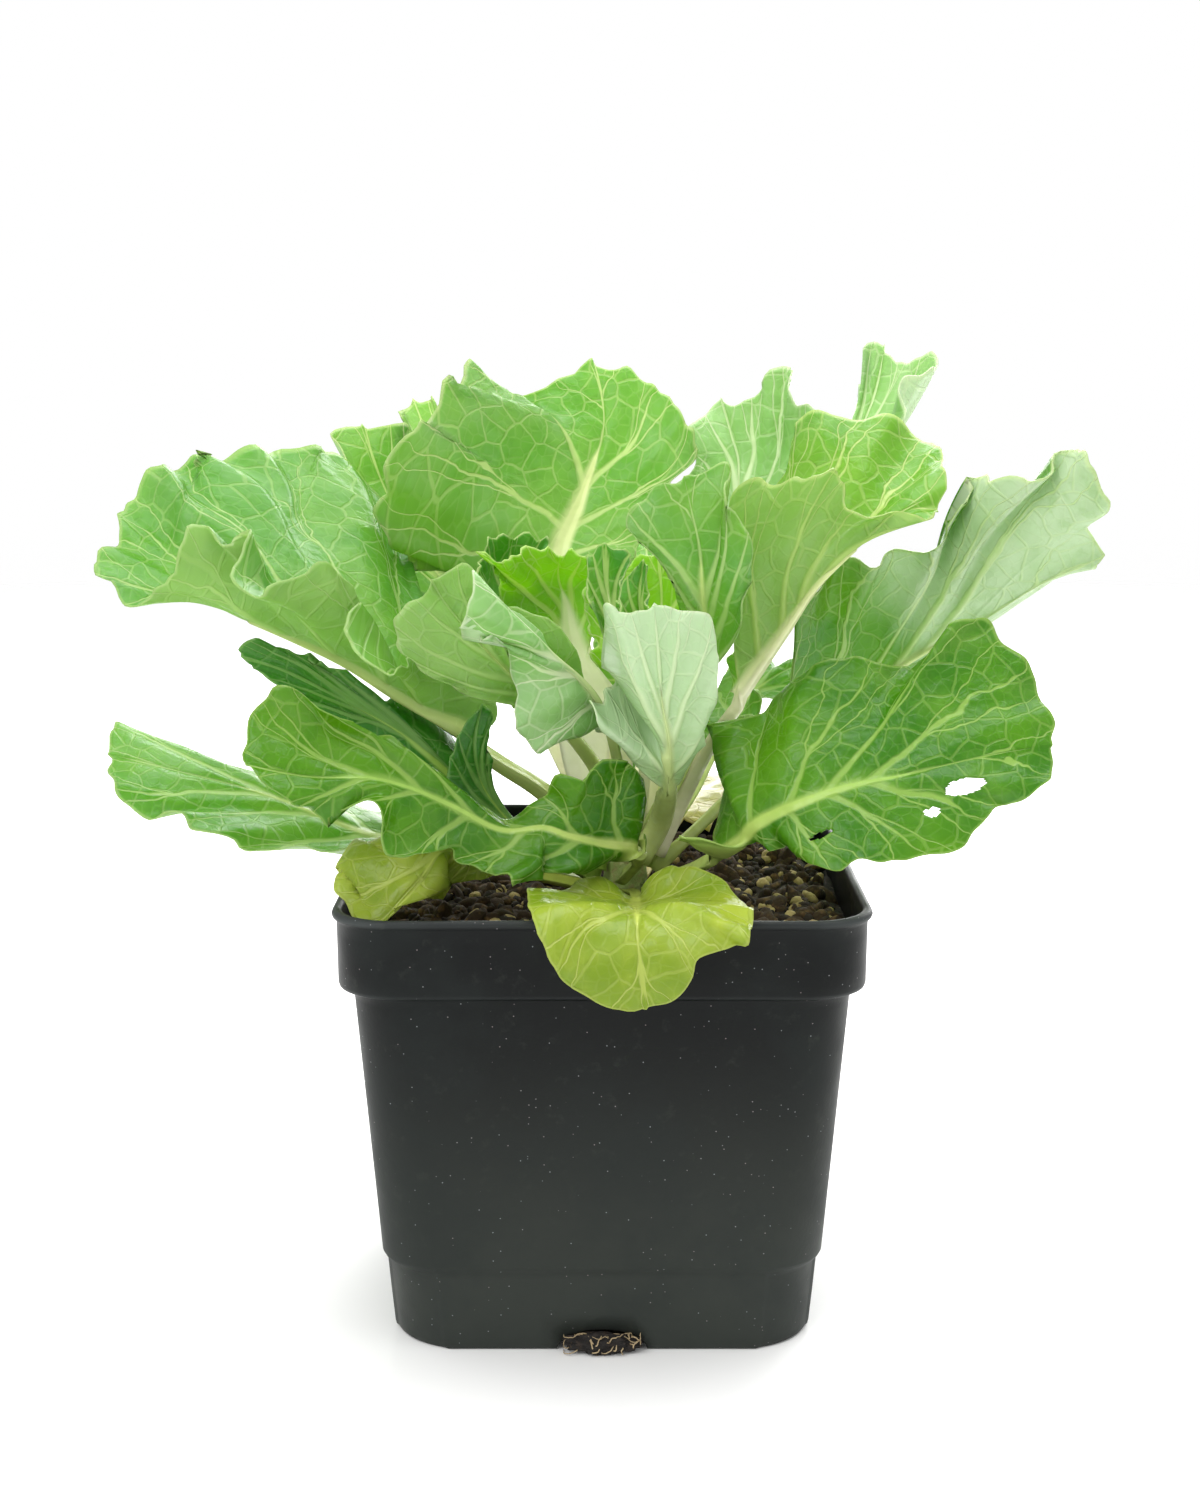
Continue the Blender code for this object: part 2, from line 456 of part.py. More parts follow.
        0.75), fork=0.62, fold=[-5, -5, 0, -12, -24], curl=[0, 0, 0, 0, 0], reach=[12, 12, 26.8, 29.1, 28.7,
        23.3, 17.8, 20.1, 26.7, 31, 33.3, 30.9, 25.6], lean=[112, 93, 23, 21, 18, 11, 0, 11, 17, 23, 28, 27,
        26], wave=[0, 0, -0.1, 0, 0, 0, 0, 0, 0, 0, 0.1, 0, 0.1]),
    "leaf_near_centre": dict(
        rib=[(9.1, -9.8, 112.6), (15, -11, 124), (16, -34, 144), (14, -41, 159), (13, -42, 171), (12, -42,
        182)], face=[(0, 1, 0.1), (0, 1, 0.2), (0, 1, 0.2)], stalk=28, width=(3.2, 2.6, 0.5), thick=(3.2,
        2.4, 0.75), fork=0.62, fold=[-4, -4, 0, 0, -10, -10, -10], curl=[10, 10, 10, 0, 0, 0, 0], reach=[8,
        18.1, 25.1, 29.8, 31.9, 29.8, 24.9, 21.1, 24.8, 31.7, 36.7, 8.2, 14, 31.7, 24.3], lean=[46, 31, 29,
        27, 25, 21, 11, 1, 11, 15, 18, 31, 32, 30, 32], wave=[7.3, 4.6, 1.1, 0.1, -0.2, 0, 0, 0, 0.2, 1.1,
        6, 35.4, 28.3, 6.3, 5.6]),
    "leaf_right_curled": dict(
        rib=[(10.6, -7.6, 117.8), (22, -11, 142), (26, -23, 168), (24, -31, 181), (23, -33, 193), (21, -33,
        202), (19, -31, 211)], face=[(-0.2, -1, 0.1), (-0.2, -1, 0.2), (-0.2, -1, 0.2)], stalk=48,
        width=(2.2, 1.8, 0.5), thick=(3, 2.2, 0.75), fork=0.62, fold=[10, 10, 10, 0, 20, 20, 20], curl=[0,
        0, 0, 0, 0, 0, 0], reach=[13.3, 19.2, 24.1, 27.6, 29.4, 29.8, 26.7, 24.4, 20.5, 26, 31.2, 30.8,
        30.7, 32.4, 31.6, 27, 21.5], lean=[21, 18, 18, 23, 29, 31, 28, 20, -1, 12, 19, 20, 20, 22, 24, 26,
        26], wave=[-3.3, -2.9, -1.7, -0.6, -0.4, -1, -0.2, 0, -0.1, -0.4, -2.6, -2.5, 4.1, 1.4, -0.5, -2.5,
        1.8]),
    "leaf_right_upper": dict(
        rib=[(12.4, -5.5, 113.9), (25, -4, 140), (35, -6, 155), (45, -10, 171), (53, -14, 184), (63, -16,
        194), (73, -16, 201), (85, -12, 206)], face=[(-0.7, 0.2, 0.7), (-0.7, 0.2, 0.7), (-0.5, 0.1, 0.8)],
        stalk=46, width=(3.6, 3.2, 0.5), thick=(4, 3, 0.8), fork=0.62, fold=[50, 48, 45, 0, 65, 72, 75],
        curl=[0, 0, 0, 0, 0, 0, 0], reach=[5, 7, 10, 14, 52.1, 57, 56.7, 56.6, 55, 54.4, 47.8, 37.4, 29.2,
        24.2, 23.5, 26.7, 26.4, 27.5, 30.8, 39.9, 40.4, 41.9, 44.1, 44.4, 26.3], lean=[112, 103, 93, 84, 52,
        49, 42, 38, 33, 28, 21, 9, 0, 6, 9, 11, 14, 17, 22, 27, 30, 35, 39, 40, 37], wave=[0, 0, -0.1, -0.5,
        -2.9, -0.2, 1.2, 1.7, 2, 3.5, 5.9, 6.4, 0, -5.9, -8, -4.6, -5.7, -6.4, -4.3, -2.9, -3.8, -2, 1.1,
        4.3, 14.8]),
    "leaf_back_right": dict(
        rib=[(10.2, 1.1, 117), (26, 26, 161), (34, 40, 186), (37, 48, 206), (35, 51, 216), (32, 54, 226)],
        face=[(-0.2, -1, 0.2), (-0.2, -1, 0.3), (-0.2, -1, 0.2)], stalk=66, width=(2.4, 2, 0.5), thick=(3,
        2.2, 0.75), fork=0.62, fold=[10, 10, 10, 0, 10, 10, 10], curl=[0, 0, 0, 0, 0, 0, 0], reach=[18, 18,
        18, 18, 26, 31.6, 32.3, 30.7, 27.8, 25.7, 22.5, 23.6, 28.9, 34.8, 41.6, 45.2, 43.4, 43.9, 45.4,
        44.1, 18], lean=[112, 101, 90, 78, 32, 23, 20, 15, 10, 5, 0, 6, 16, 22, 24, 27, 29, 31, 34, 36,
        112], wave=[0, 0, 0.1, 0.6, 3.2, 2.2, 1.9, 1.2, 0.5, 0.1, 0.1, 0.4, 0.4, -1.3, 2.3, 2.1, 6.3, 5.9,
        4.1, 8.1, 1.6]),
    "leaf_far_right": dict(
        rib=[(11.2, 0.1, 109.8), (44, 49, 168), (67, 72, 205), (77, 82, 224), (81, 88, 239)], face=[(-0.4,
        -0.8, 0.4), (-0.4, -0.8, 0.4), (-0.4, -0.8, 0.4)], stalk=92, width=(2.4, 1.8, 0.5), thick=(3, 2.2,
        0.75), fork=0.62, fold=[10, 10, 10, 0, 10, 10, 10], curl=[0, 0, 0, 0, 0, 0, 0], reach=[12, 49.6,
        46.3, 44, 43.9, 42.6, 37.6, 30.7, 34, 39.3, 48.8, 57.6, 57.4, 54.3, 53.2], lean=[112, 5, 5, 6, 7, 7,
        5, 0, 7, 15, 18, 20, 23, 25, 31], wave=[-2.5, -12.3, -7.7, -3.5, 0.5, 5.4, 3.1, 0.9, 2.5, 4.2, 5,
        6.5, 13.2, 20.4, 21.9]),
    "leaf_right_outer": dict(
        rib=[(12.8, -2.5, 108.6), (18, -1, 114), (29, 9, 122), (44, 18, 133), (62, 24, 145), (79, 26, 157),
        (98, 22, 169), (113, 14, 180), (127, 6, 187)], face=[(-0.3, 0.6, 0.8), (-0.3, 0.6, 0.7), (-0.3, 0.8,
        0.5)], stalk=50, width=(2.8, 2, 0.5), thick=(3, 2.2, 0.75), fork=0.62, fold=[0, 0, 10, 0, 20, 28,
        32], curl=[0, 0, 0, 0, 0, 0, 0], reach=[26, 26, 26, 26, 26, 26, 26, 26, 26, 26, 27.5, 27.9, 30.6,
        34.5, 37.4, 37.9, 37.3, 43, 57.6, 64.4, 67.4, 64.7, 65.4, 61, 58.8, 60.4, 58, 48.6, 47.3, 47, 49.4,
        48.6, 40.8], lean=[112, 105, 98, 91, 84, 77, 70, 63, 56, 49, 38, 30, 23, 15, 9, 4, -1, 14, 17, 22,
        25, 27, 27, 30, 32, 30, 29, 33, 40, 42, 47, 49, 61], wave=[0, 0, 0, 0, 0, 0, 0, 0, 0.1, 0.6, 3.8,
        4.7, 4.7, 4.3, 3.3, 1.8, 0.6, 3.4, 1.8, 2.6, 5.1, 5.8, -3.9, 1.6, 7.2, -1, -7.5, -3, -1.9, -4.8,
        -3.9, -6.2, -8.7]),
    "leaf_right_front": dict(
        rib=[(12, -6.8, 107), (22, -26, 115), (32, -36, 123), (37, -40, 129), (47, -44, 135), (58, -45,
        139), (71, -46, 142), (90, -44, 146), (107, -40, 148)], face=[(0, -0.6, 0.8), (0, -0.7, 0.7), (0,
        -0.75, 0.65)], stalk=33, width=(2.8, 1.9, 0.5), thick=(3, 2.2, 0.75), fork=0.62, fold=[0, 0, 0, 0,
        -10, -10, -10], curl=[0, 0, 0, 0, 0, 0, 0], reach=[33.9, 32.3, 41.1, 33.2, 37.7, 39.5, 41.5, 42.9,
        46.9, 52.6, 53.6, 56.8, 52.7, 50, 43.4, 39.4, 34.6, 33.7, 32.5, 28.8, 28.5, 30.5, 27.6, 25.3, 20.5,
        20.1, 14.9, 6.5, 6.7, 2.3, 2, 2, 2], lean=[122, 113, 108, 76, 73, 63, 60, 51, 43, 41, 41, 38, 32,
        24, 16, 8, 0, 14, 22, 25, 35, 42, 45, 53, 62, 74, 77, 80, 95, 100, 110, 162, 205], wave=[2.2, 1.2,
        -0.8, -6.2, -5.3, -3.2, -0.6, -0.5, -4.6, -4.3, 4.8, 1.9, 1.4, 1.2, 0.8, 0.5, -0.1, -1.1, -1.1,
        -0.6, -0.7, -0.7, 0.3, 0.2, 0.1, 0, -1.4, -5.6, -1.1, -0.3, 5, 10.4, 13.5]),
    "leaf_front_yellow": dict(
        rib=[(6, -10.6, 105.5), (8, -28, 109), (8, -42, 110), (8, -55, 112), (8, -65, 113), (8, -72, 109),
        (9, -75, 102), (10, -76, 93)], face=[(0, -0.2, 1), (0, -0.4, 1), (0, -1, 0.5), (0, -1, 0.1)],
        stalk=26, width=(1.8, 1.3, 0.5), thick=(2.4, 1.8, 0.75), fork=0.62, fold=[0, 8, 14, 0, 12, 8, 0],
        curl=[0, 0, 0, 0, 0, 0, 0], reach=[2.2, 4.9, 10, 15.9, 22, 25.6, 30.6, 33.3, 28.2, 22.6, 22.7, 22.1,
        20.4, 22.6, 24.8, 25.5, 26.8, 28.9, 27.2, 26.5, 21.8, 16.9, 12.7, 8.7, 5.4], lean=[135, 124, 114,
        101, 90, 78, 57, 49, 47, 36, 28, 15, 1, 19, 33, 46, 53, 56, 66, 79, 90, 102, 114, 125, 135],
        wave=[1.3, 5, 7.8, 6.3, 2.4, -3, -3.9, 0.8, -2.3, -0.6, -0.5, -0.2, -0.1, -0.5, -0.9, -0.7, -0.2,
        -0.4, -1.6, 0, 1, 2.2, 4.4, 4.8, 1.3]),
    "leaf_left_yellow": dict(
        rib=[(1.6, -8.9, 105), (-19, -27, 114), (-36, -42, 123), (-43, -48, 117), (-51, -52, 109), (-55,
        -54, 108)], face=[(0, -0.6, 0.8), (0, -0.7, 0.7), (0, -0.8, 0.6)], stalk=38, width=(1.8, 1.3, 0.5),
        thick=(2.4, 1.8, 0.75), fork=0.62, fold=[0, 0, 0, 0, 0, 0, 0], curl=[0, 0, 0, 0, 0, 0, 0],
        reach=[3.1, 3.8, 4, 4, 2, 16.7, 16.6, 16.4, 16.1, 21.9, 26.2, 32.5, 28.8, 27.6, 22.3, 13.2, 12.9],
        lean=[115, 100, 85, 70, 54, 11, 9, 5, -1, 8, 18, 26, 41, 50, 55, 81, 101], wave=[0.6, -2.3, -5.8,
        -9.7, -15.3, 4.5, 4.7, 2.7, -0.3, -2, -3.3, -4, -3.3, -5.6, -11, -21.4, -16.9]),
    "leaf_back_left": dict(
        rib=[(0.9, 0.2, 113), (-25, 34, 157), (-47, 46, 182), (-59, 52, 201), (-65, 56, 218)], face=[(0.3,
        -0.9, 0.3), (0.3, -0.9, 0.3), (0.3, -0.9, 0.3)], stalk=60, width=(2.4, 1.8, 0.5), thick=(3, 2.2,
        0.75), fork=0.62, fold=[10, 10, 10, 0, 10, 10, 10], curl=[0, 0, 0, 0, 0, 0, 0], reach=[14, 14, 45.7,
        41.3, 42.2, 38.9, 30.3, 37.6, 44.8, 52, 54.7, 14, 14], lean=[112, 93, 21, 18, 15, 13, 0, 9, 12, 13,
        15, 93, 112], wave=[0.3, 1.3, 7.7, 8, 3.8, 0.2, 0.1, 0.7, 0.7, -0.1, -1.2, -0.2, 0]),
    "leaf_far_left": dict(
        rib=[(2.9, 1.8, 109.4), (-22, 48, 160), (-43, 76, 199), (-54, 90, 224)], face=[(0.2, -0.9, 0.4),
        (0.2, -0.9, 0.4), (0.2, -0.9, 0.4)], stalk=58, width=(2.4, 1.8, 0.5), thick=(3, 2.2, 0.75),
        fork=0.62, fold=[10, 10, 10, 0, 10, 10, 10], curl=[0, 0, 0, 0, 0, 0, 0], reach=[12, 15, 17, 16,
        47.8, 44.3, 37.5, 45.5, 52.8, 16, 17, 15, 12], lean=[122, 102, 81, 61, 9, 6, -1, 3, 5, 61, 81, 102,
        122], wave=[0, 0, 0, 0.3, 1.5, 0, 0.2, 1, 0.4, 0.1, 0, 0, 0]),
    "leaf_pale_back": dict(
        rib=[(9.5, 1.6, 105), (24, 34, 118), (35, 56, 120), (46, 74, 119)], face=[(0, -0.2, 1), (0, -0.2,
        1)], stalk=30, width=(2, 1.5, 0.5), thick=(2.4, 1.8, 0.75), fork=0.62, fold=[0, 0, 0, 0, 0, 0, 0],
        curl=[0, 0, 0, 0, 0, 0, 0], reach=[10, 10, 10, 10, 20.4, 10, 10, 10, 10], lean=[112, 84, 56, 28, 0,
        28, 56, 84, 112], wave=[0, 0, 0, 0, 0, 0, 0, 0, 0]),
    "leaf_right_low": dict(
        rib=[(12, -1.2, 113.2), (23, 8, 126), (35, 22, 145), (47, 28, 154), (57, 32, 157)], face=[(-0.3,
        -0.8, 0.5), (-0.3, -0.8, 0.5), (-0.3, -0.8, 0.5)], stalk=36, width=(2, 1.5, 0.5), thick=(3, 2.2,
        0.75), fork=0.62, fold=[0, 0, 0, 0, 0, 0, 0], curl=[0, 0, 0, 0, 0, 0, 0], reach=[8, 8, 8, 17.5,
        15.3, 14.9, 14.7, 13.3, 10.9, 8.6, 7.3, 11.8, 8.6], lean=[112, 93, 75, 28, 20, 14, 0, 18, 37, 51,
        65, 80, 94], wave=[0, -0.1, -0.8, -4.7, -4.5, -1.8, -0.2, 0.4, 1.2, 6.3, 13, 12, 14.2]),
    "leaf_heart_left": dict(
        rib=[(0.1, -2.1, 116), (-6, 11, 134), (-14, 18, 159), (-22, 19, 176), (-24, 18, 183), (-23, 15,
        192)], face=[(0.3, -0.9, 0.2), (0.3, -0.9, 0.2), (0.3, -0.9, 0.2)], stalk=44, width=(1.8, 1.6, 0.5),
        thick=(2.4, 1.8, 0.75), fork=0.62, fold=[10, 10, 0, 10, 10], curl=[20, 20, 0, 20, 20], reach=[36.4,
        34.5, 30.4, 28.4, 21.9, 16.6, 22, 25.9, 27.5, 23.6, 23.6], lean=[26, 24, 22, 19, 11, 2, 14, 19, 21,
        24, 24], wave=[14.8, 10, 4.4, 3.3, 1.7, 0.4, -1.8, -2.7, -2.1, -0.6, -3.7]),
    "leaf_heart_right": dict(
        rib=[(10.6, -1.6, 118.8), (13, -1, 136), (16, 0, 154), (15, 2, 169), (15, 3, 179), (14, 3, 189)],
        face=[(-0.1, -1, 0.1), (-0.1, -1, 0.1), (-0.1, -1, 0.1)], stalk=34, width=(2.2, 2.2, 0.5),
        thick=(2.4, 2, 0.75), fork=0.62, fold=[22, 18, 0, 10, 10], curl=[10, 10, 0, 20, 20], reach=[21,
        22.7, 20.7, 22.5, 22.3, 24.9, 20.8, 16.6, 14.5, 17, 15.1, 13.2, 13, 12, 12, 12, 12], lean=[62, 61,
        60, 60, 57, 53, 42, 21, 0, 19, 28, 37, 50, 68, 81, 94, 108], wave=[1.7, 1.2, 0.6, -1.6, -0.8, -0.2,
        0, 0, 0, 0, 0, 0, 0, 0, 0, 0, 0]),
    "leaf_heart_inner": dict(
        rib=[(6, -6.4, 119.8), (6, -7, 152), (3, -8, 171), (1, -7, 183), (1, -9, 192)], face=[(-0.1, -1, 0),
        (-0.1, -1, 0), (-0.1, -0.9, 0.3)], stalk=40, width=(1.6, 1.5, 0.5), thick=(2, 1.6, 0.75), fork=0.62,
        fold=[20, 20, 0, 20, 20], curl=[30, 30, 0, 30, 30], reach=[18.6, 17.9, 18.5, 18, 16.4, 13.4, 16.4,
        17.5, 16.5, 15.9, 18], lean=[16, 15, 13, 10, 7, 4, 13, 15, 17, 19, 21], wave=[4.7, 0.9, -0.4, -0.5,
        -0.3, -0.4, -0.6, -0.8, 0.6, 2.8, 6.5]),
    "leaf_heart_inner_right": dict(
        rib=[(9.5, -4.9, 119.4), (12, -11, 154), (11, -16, 169), (9, -18, 179), (10, -19, 189)],
        face=[(-0.1, -1, 0), (-0.1, -1, 0), (-0.1, -0.9, 0.3)], stalk=42, width=(1.6, 1.4, 0.5), thick=(2,
        1.6, 0.75), fork=0.62, fold=[20, 20, 0, 20, 20], curl=[30, 30, 0, 30, 30], reach=[19.2, 16.4, 14.7,
        13, 11.7, 15, 16.2, 16.8, 18.6], lean=[18, 16, 14, 11, -7, 2, 5, 8, 10], wave=[3.1, 0.3, -0.6, -0.2,
        0, -0.2, 0, 0.9, 3.9]),
    "leaf_rear_right": dict(
        rib=[(7.6, 2.4, 108.8), (12, 40, 138), (13, 64, 164), (13, 86, 180), (12, 102, 188)], face=[(-0.2,
        -0.8, 0.5), (-0.2, -0.8, 0.6), (-0.1, -0.5, 0.9)], stalk=50, width=(2.4, 1.8, 0.5), thick=(3, 2.2,
        0.75), fork=0.62, fold=[15, 15, 10, 0, 10, 15, 15], curl=[0, 0, 0, 0, 0, 0, 0], reach=[10, 12, 15,
        19, 21, 20, 29.8, 22, 24, 24, 20, 16, 12], lean=[112, 93, 75, 56, 37, 19, 0, 19, 37, 56, 75, 93,
        112], wave=[0, -3, 3, -3, 4, -4, 3, -4, 4, -4, 3, -2, 0]),
    "leaf_rear_low": dict(
        rib=[(5.3, 2.6, 105.8), (3, 34, 122), (0, 62, 138), (-4, 90, 142), (-8, 112, 134)], face=[(0, -0.4,
        1), (0, -0.3, 1), (0, 0.2, 1)], stalk=44, width=(2.4, 1.8, 0.5), thick=(3, 2.2, 0.75), fork=0.62,
        fold=[12, 12, 8, 0, 8, 12, 12], curl=[0, 0, 0, 0, 0, 0, 0], reach=[12, 18, 22, 26, 26, 24, 29.1, 24,
        26, 26, 22, 18, 12], lean=[112, 93, 75, 56, 37, 19, 0, 19, 37, 56, 75, 93, 112], wave=[0, 3, -3, 4,
        -4, 4, -2, 3, -4, 4, -3, 3, 0]),
}

OLD_LEAVES = ("leaf_front_yellow", "leaf_left_yellow", "leaf_pale_back")


def make_leaf(name, drawing):
    """Leaf solid with as many rows as its margin has drawn points."""
    rows = max(6, (len(drawing["reach"]) - 1) // 2)
    points, faces = Leaf(**drawing).mesh(rows, BLADE_COLUMNS, BLADE)
    return solid(name, points, faces, YELLOW if name in OLD_LEAVES else GREEN)


make_pot()
make_soil()
make_stem()
make_roots()
for leaf_name, leaf_drawing in LEAVES.items():
    make_leaf(leaf_name, leaf_drawing)
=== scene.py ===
"""Looks of the ornamental kale in its square nursery pot: camera, light, pot, potting mix, roots and leaves.

Everything is drawn in millimetres in the frame of the solids and written in metres. Each leaf is laid out
from the same drawing as its solid, with many more lines, and gains teeth, frills and raised or sunken veins.
"""

import math
import random

import bmesh
import bpy
import numpy as np
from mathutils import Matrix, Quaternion, Vector, noise


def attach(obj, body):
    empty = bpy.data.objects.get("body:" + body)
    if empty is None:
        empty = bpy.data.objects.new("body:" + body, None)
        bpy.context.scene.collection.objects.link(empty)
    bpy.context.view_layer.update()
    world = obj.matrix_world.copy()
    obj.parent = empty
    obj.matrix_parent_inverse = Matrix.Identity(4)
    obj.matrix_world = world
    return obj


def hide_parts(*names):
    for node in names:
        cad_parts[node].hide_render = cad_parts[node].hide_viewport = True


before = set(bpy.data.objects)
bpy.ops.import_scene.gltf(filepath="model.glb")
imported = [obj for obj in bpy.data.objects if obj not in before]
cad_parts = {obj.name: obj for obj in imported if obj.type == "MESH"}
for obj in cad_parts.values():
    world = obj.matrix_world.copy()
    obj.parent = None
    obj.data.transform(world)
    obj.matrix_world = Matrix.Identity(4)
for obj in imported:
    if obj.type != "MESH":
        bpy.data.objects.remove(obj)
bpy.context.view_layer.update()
MM = 0.001
QUARTER = math.pi / 2


# shader tools

class Output:
    """Output of a shader node, with plain arithmetic against numbers and other outputs."""

    def __init__(self, socket):
        self.socket = socket
        self.tree = socket.id_data

    def reckon(self, operation, other=0.0):
        """Result of a maths node."""
        return add(self.tree, "Math", {"operation": operation}, {0: self, 1: other})

    def __add__(self, other):
        return self.reckon("ADD", other)

    def __sub__(self, other):
        return self.reckon("SUBTRACT", other)

    def __mul__(self, other):
        return self.reckon("MULTIPLY", other)

    def __truediv__(self, other):
        return self.reckon("DIVIDE", other)

    def __or__(self, other):
        """The larger of the two."""
        return self.reckon("MAXIMUM", other)


def linear(hexcode):
    """sRGB hex colour as linear RGBA."""
    rgb = [int(hexcode[k:k + 2], 16) / 255 for k in (0, 2, 4)]
    return (*[c / 12.92 if c <= 0.04045 else ((c + 0.055) / 1.055) ** 2.4 for c in rgb], 1.0)


def feed(node, inputs):
    """Sets a node's inputs, which are numbers, colours or other nodes' outputs."""
    for key, value in inputs.items():
        if isinstance(value, Output):
            node.id_data.links.new(value.socket, node.inputs[key])
        else:
            node.inputs[key].default_value = value


def add(tree, kind, settings=None, inputs=None, out=0):
    """Adds a node with its own settings and inputs; returns one output, or a list for a tuple of keys."""
    made = tree.nodes.new("ShaderNode" + kind)
    for key, value in (settings or {}).items():
        setattr(made, key, value)
    feed(made, inputs or {})
    if isinstance(out, tuple):
        return [Output(made.outputs[key]) for key in out]
    return Output(made.outputs[out])


def new_material(name, surface):
    """Empty material with one Principled shader; returns the material, its tree and the shader."""
    made = bpy.data.materials.new(name)
    made.use_nodes = True
    shader = made.node_tree.nodes["Principled BSDF"]
    feed(shader, surface)
    return made, made.node_tree, shader


def cover(tree, share, shader, second):
    """Mixes a second shader into the surface."""
    both = add(tree, "MixShader", inputs={0: share, 1: Output(shader.outputs[0]), 2: second})
    feed(tree.nodes["Material Output"], {"Surface": both})


def steps(value, low, high, to_low=0.0, to_high=1.0, smooth=True):
    """value from low to high, turned into to_low to to_high and held there outside."""
    return add(value.tree, "MapRange",
               {"interpolation_type": "SMOOTHSTEP" if smooth else "LINEAR", "clamp": True},
               {"Value": value, "From Min": low, "From Max": high, "To Min": to_low, "To Max": to_high},
               "Result")


def blend(share, first, second):
    """Colour mix; a colour is a hex string or another node's output."""
    first, second = (linear(c) if isinstance(c, str) else c for c in (first, second))
    return add(share.tree, "Mix", {"data_type": "RGBA"}, {0: share, 6: first, 7: second}, 2)


def place_mm(tree):
    """Position on the piece in millimetres."""
    spot = add(tree, "TexCoord", out="Object")
    return add(tree, "VectorMath", {"operation": "SCALE"}, {0: spot, "Scale": 1 / MM})


def clouds(spot, size_mm, detail=3.0, rough=0.5, out=0):
    """Soft noise from 0 to 1 with blotches of about size_mm."""
    return add(spot.tree, "TexNoise",
               inputs={"Vector": spot, "Scale": 1 / size_mm, "Detail": detail, "Roughness": rough}, out=out)


def specks(spot, cell_mm, radius, rarity):
    """Mask of scattered dots, at most one to a cell, and the random value of each cell."""
    distance, colour = add(spot.tree, "TexVoronoi", inputs={"Vector": spot, "Scale": 1 / cell_mm},
                           out=("Distance", "Color"))
    chosen = add(spot.tree, "SeparateColor", inputs={0: colour}, out="Red")
    return steps(distance, 0.05, radius, 1.0, 0.0) * steps(chosen, *rarity), chosen


def relief(height, strength, depth_mm, **below):
    """Surface direction over bumps of depth_mm, on top of another relief where Normal is given."""
    return add(height.tree, "Bump",
               inputs={"Strength": strength, "Distance": depth_mm * MM, "Height": height, **below})


# mesh tools

def mesh_object(name, points, faces, surface):
    """Smooth shaded mesh piece from points in millimetres."""
    mesh = bpy.data.meshes.new(name)
    mesh.from_pydata((np.asarray(points, float) * MM).tolist(), [], faces)
    mesh.materials.append(surface)
    mesh.shade_smooth()
    made = bpy.data.objects.new(name, mesh)
    bpy.context.scene.collection.objects.link(made)
    return made


def finish_piece(piece, slot, *nodes):
    """Every piece stands on the one body and may stand for solids; slot is not used."""
    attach(piece, "root")
    if nodes:
        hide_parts(*nodes)


def loft(name, rings, surface):
    """Closed skin through a run of equal rings, with a centre point at both ends."""
    count = len(rings[0])
    points = [p for ring in rings for p in ring]
    faces = []
    for level in range(len(rings) - 1):
        a, b = level * count, (level + 1) * count
        faces += [(a + k, a + (k + 1) % count, b + (k + 1) % count, b + k) for k in range(count)]
    for base, ring, way in ((0, rings[0], -1), ((len(rings) - 1) * count, rings[-1], 1)):
        points.append(tuple(sum(c) / count for c in zip(*ring)))
        tip = len(points) - 1
        for k in range(count):
            pair = (base + k, base + (k + 1) % count)
            faces.append((*pair[::way], tip))
    return mesh_object(name, points, faces, surface)


def cut_away(target, cutters):
    """Cuts the shapes out of the target and removes them."""
    for cutter in cutters:
        step = target.modifiers.new("cut", "BOOLEAN")
        step.operation, step.solver, step.object = "DIFFERENCE", "EXACT", cutter
    bpy.context.view_layer.objects.active = target
    for step in list(target.modifiers):
        bpy.ops.object.modifier_apply(modifier=step.name)
    for cutter in cutters:
        bpy.data.objects.remove(cutter, do_unlink=True)


# pot

CORNER, CORNER_INSIDE = 14.0, 12.6
PER_CORNER, PER_SIDE, SOIL_PER_SIDE = 22, 9, 40
SIDE_BOW, BOW_FULL_AT = 0.35, 40
FOOT_INSET, FOOT_TOP, FOOT_HALF = 1.7, 21.6, 51.4
NOTCH_HALF, NOTCH_HEIGHT, NOTCH_REACH = 11.0, 5.6, 8.0
LIP_OUTSIDE, LIP_INSIDE, LIP_BASE, LIP_STEPS = 63.5, 61.3, 109.95, 5
BASE_CORNERS = {0.0: 13.2, 0.5: 13.6, 1.6: 13.8}
OUTSIDE = ((0.0, 50.6), (0.5, 51.2), (1.6, 51.45), (10.0, 52.2), (19.0, 52.9), (20.5, 53.0), (21.3, 53.6),
           (22.6, 54.0), (40.0, 55.3), (60.0, 56.8), (80.0, 58.3), (88.6, 58.95), (90.4, 59.15),
           (91.2, 59.6), (91.7, 60.6), (91.9, 61.6), (92.3, 62.1), (93.2, 62.35), (98.0, 62.4),
           (105.0, 62.45), (108.2, 62.5), (108.9, 62.8), (109.3, 63.3))
INSIDE = ((108.0, 60.95), (100.0, 60.8), (95.0, 60.6), (92.5, 60.0), (90.5, 57.9), (70.0, 56.2),
          (40.0, 53.9), (24.0, 52.6), (20.0, 51.4), (6.0, 50.3), (2.4, 49.8), (1.8, 48.6))
SOIL_BLOCK = ((2.3, 47.6), (5.0, 49.2), (40.0, 53.2), (70.0, 55.6), (89.0, 57.0), (96.0, 58.6))


